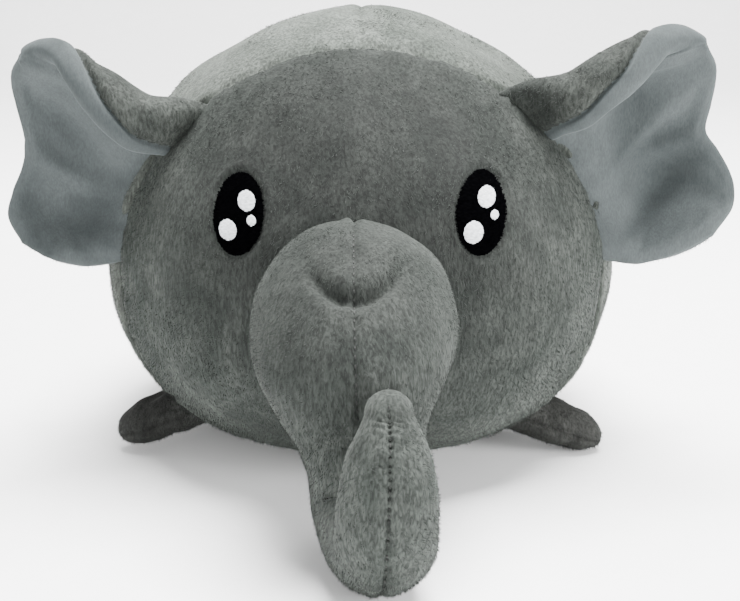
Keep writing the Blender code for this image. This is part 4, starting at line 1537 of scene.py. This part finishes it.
    def settle(self) -> None:
        """Lets the padding push the leaf's two faces apart between their seams."""
        rows, columns = 20, self.settle_columns
        s = np.linspace(*self.settle_rows, rows)[:, None] + np.zeros(columns)
        ring = (np.arange(columns) + 0.5)[None, :] * 2 / columns + np.zeros((rows, 1))
        t, _ = self.section(s, ring)
        rim = bell(t, 0.10) + bell(2 - t, 0.10) + bell(1 - s, 0.08) + bell(s, 0.10)
        self.moves = settle(self.plain(s, ring), np.clip(rim, 0, 1), 3.0, 0.0018)

    def relief(self, s: Array, ring: Array, points: Array) -> Array:
        """How far the cloth stands over the plain leaf.

        Args:
            s: Shares from the root to the rim.
            ring: From 0 to 1 on the inner face and on to 2 behind.
            points: The plain points there.

        Returns:
            The height over each place.
        """
        t, _ = self.section(s, ring)
        inner = ring <= 1.0
        from_seam = self.from_seam(s, t)
        behind = ~inner & (t > 1)
        seam = -0.0021 * bell(from_seam, 0.0011) + 0.0008 * bell(from_seam - 0.0032, 0.0022)
        height = np.where(behind, seam, 0.0)
        low_rim = np.minimum(t * self.leaf_height, (1 - s) * self.leaf_width)
        height += Lumps(0.0075, 0.00040, 33).at(points) * np.exp(-low_rim / 0.005)
        height += Lumps(0.034, 0.0009, 34 + self.side.value).at(points)
        for at_s, at_t, slope, depth, width in self.pattern.folds:
            aside = (t - at_t) - slope * (s - at_s)
            height += np.where(inner, depth, 0.0) * bell(aside, width) * bell(s - at_s, 0.30)
        return height

    def skin(self, s: Array, ring: Array) -> Array:
        """Finished points of the leaf, on the toy's own side."""
        points = self.plain(s, ring)
        t, _ = self.section(s, ring)
        first, last = self.settle_rows
        around = (ring / 2 - 0.5 / self.settle_columns) % 1.0
        pushed = resample(self.moves, (s - first) / (last - first), around, wrap=True)
        fade = np.clip(self.thickness(s, t) / self.padding, 0, 1)
        height = self.relief(s, ring, points) * fade * np.where(ring <= 1.0, 1.0, -1.0)
        moved = points + pushed * fade[..., None] + self.normal(s, t) * height[..., None]
        moved[..., 0] *= self.side.value
        return moved

    def build(self) -> None:
        """Makes the leaf with its two fabrics and its pile."""
        self.settle()
        rows, half = 84, 84
        s = (1 - (1 - np.linspace(0, 1, rows)) ** 1.5)[:, None] + np.zeros(2 * half)
        front = spaced(half, 0.5)[:-1]
        ring = np.concatenate([front, 1 + front])[None, :] + np.zeros((rows, 1))
        word = self.side.word
        leaf = make_object(f"ear_{word}_leaf", self.skin(s, ring), grid_faces(rows, 2 * half, True))
        outer_first = self.paint(leaf, s, ring)
        log.info("ear_%s: %d faces of outer plush", word, outer_first)
        piece_names = tuple(f"ear_{word}_{layer}" for layer in ("inner", "batting", "outer"))
        self.room.place(leaf, "plush", piece_names, fill=0.55)
        outer = self.outer_only(leaf)
        pile = self.room.grow_pile(
            outer, PILE_DENSITY, PILE_LENGTH, PILE_LEAN, 60 + self.side.value, self.room.front_pile,
        )
        pile.name = f"ear_{word}_pile"
        bpy.data.objects.remove(outer)
        low = float(self.form.side(np.array(self.form.seam_ahead), np.array(self.hinge_level)))
        for piece in (leaf, pile):
            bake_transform(piece)

    def paint(self, leaf: bpy.types.Object, s: Array, ring: Array) -> int:
        """Gives each face its fabric, by where its middle lies on the leaf.

        Returns:
            How many faces have the outer fabric.
        """
        dress(leaf, self.room.finishes.lining, self.room.finishes.ear)
        points = self.skin(s, ring).reshape(-1, 3)
        t, _ = self.section(s, ring)
        outer = ((ring > 1.0) & (self.from_seam(s, t) > 0)).reshape(-1)
        tree = KDTree(len(points))
        for number, point in enumerate(points):
            tree.insert(point, number)
        tree.balance()
        count = 0
        for polygon in leaf.data.polygons:
            votes = sum(outer[tree.find(leaf.data.vertices[v].co)[1]] for v in polygon.vertices)
            polygon.material_index = 1 if votes * 2 > len(polygon.vertices) else 0
            count += polygon.material_index
        return count

    def outer_only(self, leaf: bpy.types.Object) -> bpy.types.Object:
        """A copy of the leaf with only its outer fabric, for the pile to grow on."""
        mesh = leaf.data.copy()
        work = bmesh.new()
        work.from_mesh(mesh)
        bmesh.ops.delete(work, geom=[f for f in work.faces if f.material_index == 0], context="FACES")
        work.to_mesh(mesh)
        work.free()
        made = bpy.data.objects.new("scratch_outer", mesh)
        bpy.context.scene.collection.objects.link(made)
        return made


@dataclass
class Foot:
    """A short stuffed stub with a seam along each side."""

    room: Workroom
    name: str
    side: Side
    y: float
    lift: float = 0.0
    form: BodyForm = field(default_factory=BodyForm)
    length: float = 0.036
    width: float = 0.0225
    thick: float = 0.0210
    end_level: float = 0.0051
    tilt: float = math.radians(22)

    def plain(self, along: Array, turn: Array) -> Array:
        """Points of the stub. along is 0 inside the body and 1 at its end.

        Args:
            along: Shares of the length.
            turn: The angle round the stub.

        Returns:
            The points.
        """
        middle = self.end_level + self.lift
        run = self.length * (1 - np.maximum(0.0, 1 - along) ** 1.6)
        run = np.where(along < 0.05, self.length * (along - 0.05) * 1.6 + self.length * 0.08, run)
        share = np.sqrt(np.maximum(0.0, 1 - np.maximum(0.0, run / self.length) ** 4.0))
        wide = self.width / 2 * share * np.cos(turn)
        high = self.thick / 2 * share * np.sin(turn)
        rise = (self.length - run) * math.sin(self.tilt)
        root_level = np.array(middle + self.length * math.sin(self.tilt))
        root = float(self.form.side(np.array(self.y), root_level))
        out = root + run * math.cos(self.tilt) + high * math.sin(self.tilt)
        level = middle + rise + high * math.cos(self.tilt)
        return np.stack([self.side.value * out, self.y + wide, np.maximum(level, 0.0004)], axis=-1)

    def build(self) -> None:
        """Makes the stub and its pile."""
        rows, columns = 60, 72
        along = np.linspace(-0.35, 1.0, rows)[:, None] + np.zeros(columns)
        turn = np.linspace(0, 2 * np.pi, columns, endpoint=False)[None, :] + np.zeros((rows, 1))
        turn = turn - 0.2 * np.sin(2 * turn)
        points = self.plain(along, turn)
        middle = points.mean(axis=1, keepdims=True)
        out = unit(points - middle)
        aside = self.thick / 2 * np.sin(turn)
        height = -0.0011 * bell(aside, 0.0010) + 0.0004 * bell(np.abs(aside) - 0.003, 0.002)
        wrinkles = Lumps(0.005, 0.0003, 72).at(points) * bell(aside, 0.004)
        height += Lumps(0.012, 0.0004, 71).at(points) + wrinkles
        fade = np.sqrt(np.clip((1 - along) / 0.06, 0, 1))
        points = points + out * (height * fade)[..., None]
        points[..., 2] = np.maximum(points[..., 2], 0.0004)
        made = make_object(f"{self.name}_plush", points, grid_faces(rows, columns, True))
        # Painted shade: the dark finish and the dark pile stand for the shade under the body.
        dress(made, self.room.finishes.foot)
        parts = tuple(f"{self.name}_{part}" for part in ("upper", "lower", "stuffing"))
        self.room.place(made, "foot_plush", parts, fill=0.7)
        pile = self.room.grow_pile(made, PILE_DENSITY, PILE_LENGTH, PILE_LEAN, 81, self.room.dark_pile)
        for piece in (made, pile):
            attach(piece, "body")


@dataclass
class Tail:
    """A thin stuffed tail with a bristly tuft."""

    room: Workroom
    form: BodyForm = field(default_factory=BodyForm)
    height: float = 0.074
    length: float = 0.036
    radius: float = 0.0062
    gap: float = 0.0035
    droop: float = math.radians(58)
    tuft_radius: float = 0.0078
    tuft_length: float = 0.017
    inside: float = 0.020
    bristle_density: float = 3000000.0
    bristle_length: float = 0.0050
    hinge_start: float = 0.1175
    hinge_end: float = 0.1300

    def ring(self, run: Array, radius: Array, turn: Array) -> Array:
        """Points round the tail's line.

        Args:
            run: How far along the line.
            radius: The radius there.
            turn: The angle round it.

        Returns:
            The points.
        """
        along = np.array([0.0, math.cos(self.droop), -math.sin(self.droop)])
        across = np.array([1.0, 0.0, 0.0])
        front = np.cross(along, across)
        back = -float(self.form.front(np.array(0.0), np.array(self.height)))
        root = np.array([0.0, back + self.gap + self.radius, self.height])
        line = root + along * run[..., None]
        aside = across * np.cos(turn)[..., None] + front * np.sin(turn)[..., None]
        return line + aside * radius[..., None]

    def build(self) -> None:
        """Makes the tail, its tuft and the bristles."""
        rows, columns = 60, 36
        turn = np.linspace(0, 2 * np.pi, columns, endpoint=False)[None, :] + np.zeros((rows, 1))
        share = np.linspace(0, 1, rows)[:, None] + np.zeros(columns)
        run = -self.inside + (self.length + self.inside) * share
        points = self.ring(run, self.radius * (1.02 - 0.24 * share), turn)
        sideways = self.radius * np.cos(turn)
        height = -0.0007 * bell(sideways, 0.0009) * (np.sin(turn) < 0)
        height = height + Lumps(0.006, 0.00025, 91).at(points)
        points = points + unit(points - points.mean(axis=1, keepdims=True)) * height[..., None]
        skin = make_object("tail_plush", points, grid_faces(rows, columns, True))
        dress(skin, self.room.finishes.back)
        self.room.place(skin, "plush", ("tail_skin", "tail_stuffing"), fill=0.8)
        tilt = np.linspace(0, np.pi, 40)[:, None] + np.zeros(columns)
        bulb = np.linspace(0, 2 * np.pi, columns, endpoint=False)[None, :] + np.zeros((40, 1))
        run = self.length - 0.001 + self.tuft_length * (1 - np.cos(tilt)) / 2
        points = self.ring(run, self.tuft_radius * np.sin(tilt) ** 0.9 + 0 * bulb, bulb)
        out = unit(points - points.mean(axis=1, keepdims=True))
        points = points + out * Lumps(0.004, 0.0005, 92).at(points)[..., None]
        tuft = make_object("tail_tuft_plush", points, grid_faces(40, columns, True))
        dress(tuft, self.room.finishes.foot)
        self.room.place(tuft, "foot_plush", ("tail_tuft",), fill=0.6)
        skin_pile = self.room.grow_pile(skin, PILE_DENSITY, PILE_LENGTH, PILE_LEAN, 93)
        bristles = self.room.grow_pile(
            tuft, self.bristle_density, self.bristle_length, 1.0, 94,
            self.room.dark_pile, width=0.00016,
        )
        for piece in (skin, skin_pile):
            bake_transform(piece)
        for piece in (tuft, bristles):
            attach(piece, "tail")


@dataclass
class Eye:
    """A dense oval of black satin stitch with three white highlights."""

    room: Workroom
    side: Side
    face: bpy.types.Object
    centre: tuple[float, float]
    lean: float
    highlights: tuple[tuple[str, float, float, float], ...]
    pitch: float = 0.00042

    def bend(
        self, piece: bpy.types.Object, centre: tuple[float, float], lean: float, lift: float,
        dome: float,
    ) -> None:
        """Lays a flat piece on the face.

        Args:
            piece: The piece, flat on X and Z round its own middle.
            centre: Where its middle goes on X and Z.
            lean: How far it leans, as an angle.
            lift: How far it stands off the cloth.
            dome: How much more its middle stands out.
        """
        mesh = piece.data
        flat = np.empty(len(mesh.vertices) * 3)
        mesh.vertices.foreach_get("co", flat)
        flat = flat.reshape(-1, 3)
        reach = max(float(np.abs(flat[:, 0]).max()), 1e-6), max(float(np.abs(flat[:, 2]).max()), 1e-6)
        out = 1 - np.clip((flat[:, 0] / reach[0]) ** 2 + (flat[:, 2] / reach[1]) ** 2, 0, 1)
        x = centre[0] + flat[:, 0] * math.cos(lean) + flat[:, 2] * math.sin(lean)
        z = centre[1] - flat[:, 0] * math.sin(lean) + flat[:, 2] * math.cos(lean)
        laid = np.empty_like(flat)
        for number, (px, pz) in enumerate(zip(x, z)):
            hit, place, *_ = self.face.ray_cast(Vector((px, -0.3, pz)), Vector((0, 1, 0)))
            y = place.y if hit else float(self.form_front(px, pz))
            laid[number] = (px, y - lift - dome * math.sqrt(out[number]) + flat[number, 1], pz)
        mesh.vertices.foreach_set("co", laid.reshape(-1))
        mesh.update()

    @staticmethod
    def form_front(x: float, z: float) -> float:
        """The plain face's place, where a ray misses the panel."""
        return float(BodyForm().front(np.array(x), np.array(z)))

    def patch(self, name: str, half_width: float, half_height: float, thick: float) -> bpy.types.Object:
        """A closed oval pad, flat on X and Z.

        Args:
            name: The piece's name.
            half_width: Half its width.
            half_height: Half its height.
            thick: Its thickness.

        Returns:
            The pad.
        """
        rows, columns = 12, 56
        turn = np.linspace(0, 2 * np.pi, columns, endpoint=False)
        points, angles = [], np.linspace(0, np.pi, rows)
        for angle in angles:
            share = math.sin(angle) ** 0.35
            points.append(np.stack([
                half_width * share * np.cos(turn),
                np.full(columns, -thick / 2 * math.cos(angle)),
                half_height * share * np.sin(turn),
            ], axis=-1))
        return make_object(name, np.array(points), grid_faces(rows, columns, True))

    def sew(
        self, name: str, centre: tuple[float, float], size: tuple[float, float], lean: float,
        lift: float, finish: bpy.types.Material, seed: int,
    ) -> tuple[bpy.types.Object, bpy.types.Object]:
        """One filled oval: a pad under rows of thread.

        Args:
            name: The pad's name.
            centre: Its middle on X and Z.
            size: Half its width and height.
            lean: How far it leans, as an angle.
            lift: How far it stands off the cloth.
            finish: Its thread.
            seed: Seed of the rows' ragged ends.

        Returns:
            The pad and its threads.
        """
        pad = self.patch(name, size[0] * 0.96, size[1] * 0.97, 0.0007)
        self.bend(pad, centre, lean, lift, 0.0005)
        dress(pad, finish)
        base = make_object("scratch_point", np.zeros((3, 3)) + np.eye(3) * 0.001, [(0, 1, 2)])
        rows = max(8, int(size[1] * 2 / self.pitch))
        threads = self.room.satin.grow(base, f"{name}_threads", {
            "Half Width": size[0], "Half Height": size[1], "Rows": rows,
            "Thickness": self.pitch * 0.56, "Seed": seed, "Finish": finish,
        })
        bpy.data.objects.remove(base)
        self.bend(threads, centre, lean, lift + 0.00035, 0.0005)
        return pad, threads

    def build(self) -> None:
        """Makes the black oval and the highlights, each a pad under its threads."""
        word = self.side.word
        black, threads = self.sew(
            f"eye_{word}_oval", self.centre, EYE_SIZE, self.lean,
            0.0006, self.room.finishes.black, 5 + self.side.value,
        )
        self.room.place(black, "black_thread", (f"eye_{word}_black",))
        made = [(black, "black_thread"), (threads, "black_thread")]
        for name, across, upward, radius in self.highlights:
            centre = (self.centre[0] + across, self.centre[1] + upward)
            pad, rows = self.sew(
                f"eye_{word}_{name}_dot", centre, (radius, radius * 1.04), 0.0,
                0.0016, self.room.finishes.white, 11,
            )
            self.room.place(pad, "white_thread", (f"eye_{word}_highlight_{name}",))
            made += [(pad, "white_thread"), (rows, "white_thread")]
        for piece, slot in made:
            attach(piece, "body")


@dataclass
class CareLabel:
    """A blank ribbon label that hangs from the rear seam."""

    room: Workroom
    form: BodyForm = field(default_factory=BodyForm)
    width: float = 0.018
    height: float = 0.024

    def build(self) -> None:
        """Makes the ribbon as a thin closed strip with folded edges."""
        rows, columns = 30, 24
        across = (np.linspace(-0.5, 0.5, columns) * self.width)[None, :] + np.zeros((rows, 1))
        down = np.linspace(0, 1, rows)[:, None] + np.zeros(columns)
        top = self.form.belly_level + self.height + 0.004
        z = top - self.height * down
        sheets = []
        for lift in (0.0022, 0.0016):
            y = -self.form.front(across, z) + lift + 0.0045 * down
            y = y + 0.0006 * np.sin(across * 420 + down * 3) * down
            sheets.append(np.stack([across, y, z], axis=-1))
        closed = np.concatenate([sheets[0], sheets[1][:, ::-1]], axis=1)
        made = make_object("care_label_ribbon", closed, grid_faces(rows, 2 * columns, True))
        dress(made, self.room.finishes.label)
        self.room.place(made, "label_satin", ("care_label",))
        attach(made, "body")


@dataclass(frozen=True)
class Studio:
    """A pale floor that sweeps up behind, soft lights and the camera."""

    camera_place: tuple[float, float, float] = (0.0, -0.6307, 0.2622)
    camera_tilt: float = 14.0
    lens: float = 65.38
    shift: tuple[float, float] = (0.0115, -0.1196)

    def floor(self) -> None:
        """Makes the floor sheet with its sweep."""
        profile = [(-3.0, 0.0), (1.1, 0.0)]
        sweep = np.linspace(0.1, math.pi / 2, 12)
        profile += [(1.1 + 0.6 * math.sin(a), 0.6 - 0.6 * math.cos(a)) for a in sweep]
        profile += [(1.7, 2.4)]
        points = np.array([[(x, y, z) for x in (-3.0, 3.0)] for y, z in profile])
        made = make_object("studio_floor", points, grid_faces(len(profile), 2, False))
        aim_outwards(made, lambda middles: np.array([0.0, 0.0, 1.0]) + 0 * middles)
        nodes = Nodes("studio_paper")
        grain = nodes.noise(nodes.place, 60.0, 3.0)
        paper = nodes.ramp(grain, (0.3, (0.93, 0.93, 0.93)), (0.7, (0.95, 0.95, 0.95)))
        nodes.link(paper, nodes.shader.inputs["Base Color"])
        nodes.plain(Roughness=0.9, Specular_IOR_Level=0.1)
        dress(made, nodes.material)

    def light(
        self, name: str, place: tuple[float, float, float], aim: tuple[float, float, float],
        size: float, power: float,
    ) -> None:
        """Adds a soft square light.

        Args:
            name: The light's name.
            place: Where it stands.
            aim: Where it looks.
            size: Its side.
            power: Its power in watts.
        """
        lamp = bpy.data.lights.new(name, "AREA")
        lamp.size = size
        lamp.energy = power
        made = bpy.data.objects.new(name, lamp)
        made.location = place
        made.rotation_euler = (Vector(aim) - Vector(place)).to_track_quat("-Z", "Y").to_euler()
        bpy.context.scene.collection.objects.link(made)

    def build(self) -> None:
        """Makes the floor, lights, surroundings and camera."""
        self.floor()
        self.light("key_overhead", (0.10, 0.06, 1.25), (0, 0, 0.08), 0.8, 120.0)
        self.light("fill_right", (1.2, -0.6, 0.35), (0, -0.05, 0.08), 0.6, 34.0)
        self.light("fill_left", (-1.1, -0.9, 0.15), (0, -0.05, 0.06), 0.5, 11.0)
        self.light("fill_low", (0.05, -1.5, 0.09), (0, -0.05, 0.05), 0.9, 17.0)
        world = bpy.data.worlds.new("studio_air")
        world.use_nodes = True
        world.node_tree.nodes["Background"].inputs["Color"].default_value = (1.0, 1.0, 1.0, 1.0)
        world.node_tree.nodes["Background"].inputs["Strength"].default_value = 0.75
        bpy.context.scene.world = world
        lens = bpy.data.cameras.new("front_camera")
        lens.lens = self.lens
        lens.sensor_width = 36.0
        lens.shift_x, lens.shift_y = self.shift
        lens.clip_start = 0.01
        camera = bpy.data.objects.new("front_camera", lens)
        camera.location = self.camera_place
        camera.rotation_euler = (math.radians(90.0 - self.camera_tilt), 0.0, 0.0)
        bpy.context.scene.collection.objects.link(camera)
        bpy.context.scene.camera = camera


LEFT_EAR = EarPattern(
    base=((0.116, 0.094), (0.126, 0.0935), (0.142, 0.0985), (0.157, 0.108)),
    rim=(
        (0.157, 0.108), (0.166, 0.118), (0.1665, 0.129), (0.161, 0.140), (0.1525, 0.152),
        (0.1535, 0.166), (0.153, 0.183), (0.147, 0.194),
    ),
    ridge=(
        (0.070, 0.174), (0.082, 0.1785), (0.092, 0.182), (0.103, 0.189), (0.115, 0.195),
        (0.127, 0.198), (0.139, 0.198), (0.147, 0.194),
    ),
    root_bottom=0.096,
    folds=(
        (0.80, 0.56, 0.10, 0.0030, 0.05),
        (0.62, 0.40, 0.55, -0.0042, 0.10),
        (0.55, 0.66, 0.45, 0.0034, 0.07),
        (0.50, 0.86, 0.30, -0.0034, 0.08),
    ),
)
RIGHT_EAR = EarPattern(
    base=((0.115, 0.0935), (0.128, 0.093), (0.1415, 0.0963), (0.152, 0.1035)),
    rim=(
        (0.152, 0.1035), (0.1585, 0.114), (0.1560, 0.1245), (0.1515, 0.135), (0.1495, 0.147),
        (0.1520, 0.166), (0.1510, 0.180), (0.1455, 0.189),
    ),
    ridge=(
        (0.072, 0.168), (0.084, 0.170), (0.0945, 0.172), (0.104, 0.177), (0.115, 0.185),
        (0.128, 0.1915), (0.138, 0.1925), (0.1455, 0.189),
    ),
    root_bottom=0.096,
    folds=(
        (0.80, 0.50, 0.10, 0.0030, 0.06),
        (0.75, 0.28, 0.20, -0.0030, 0.11),
        (0.62, 0.72, 0.35, -0.0034, 0.10),
    ),
)


def main() -> None:
    """Builds the toy piece by piece, then the studio."""
    logging.basicConfig(level=logging.INFO, format="%(name)s %(message)s")
    Studio().build()
    finishes = Wardrobe()
    room = Workroom(
        finishes,
        PileForm(finishes.fibres),
        PileForm(finishes.front_fibres, "scattered_front_pile"),
        PileForm(finishes.dark_fibres, "scattered_dark_pile"),
        SatinForm(),
        StitchForm(),
    )
    face = StuffedBody(room).build()
    Trunk(room).build()
    Ear(room, Side.LEFT, LEFT_EAR).build()
    Ear(room, Side.RIGHT, RIGHT_EAR).build()
    for side, (across, level, lean), highlights in zip(Side, EYE_PLACES, EYE_HIGHLIGHTS):
        Eye(room, side, face, (across, level), lean, highlights).build()
    for side in Side:
        lift, length = (0.0, 0.036) if side is Side.LEFT else (0.0035, 0.034)
        Foot(room, f"foot_front_{side.word}", side, -0.041, lift, length=length).build()
        Foot(room, f"foot_rear_{side.word}", side, 0.050).build()
    Tail(room).build()
    CareLabel(room).build()
    log.info("%d pieces made", len(room.made))


if __name__ == "__main__":
    main()
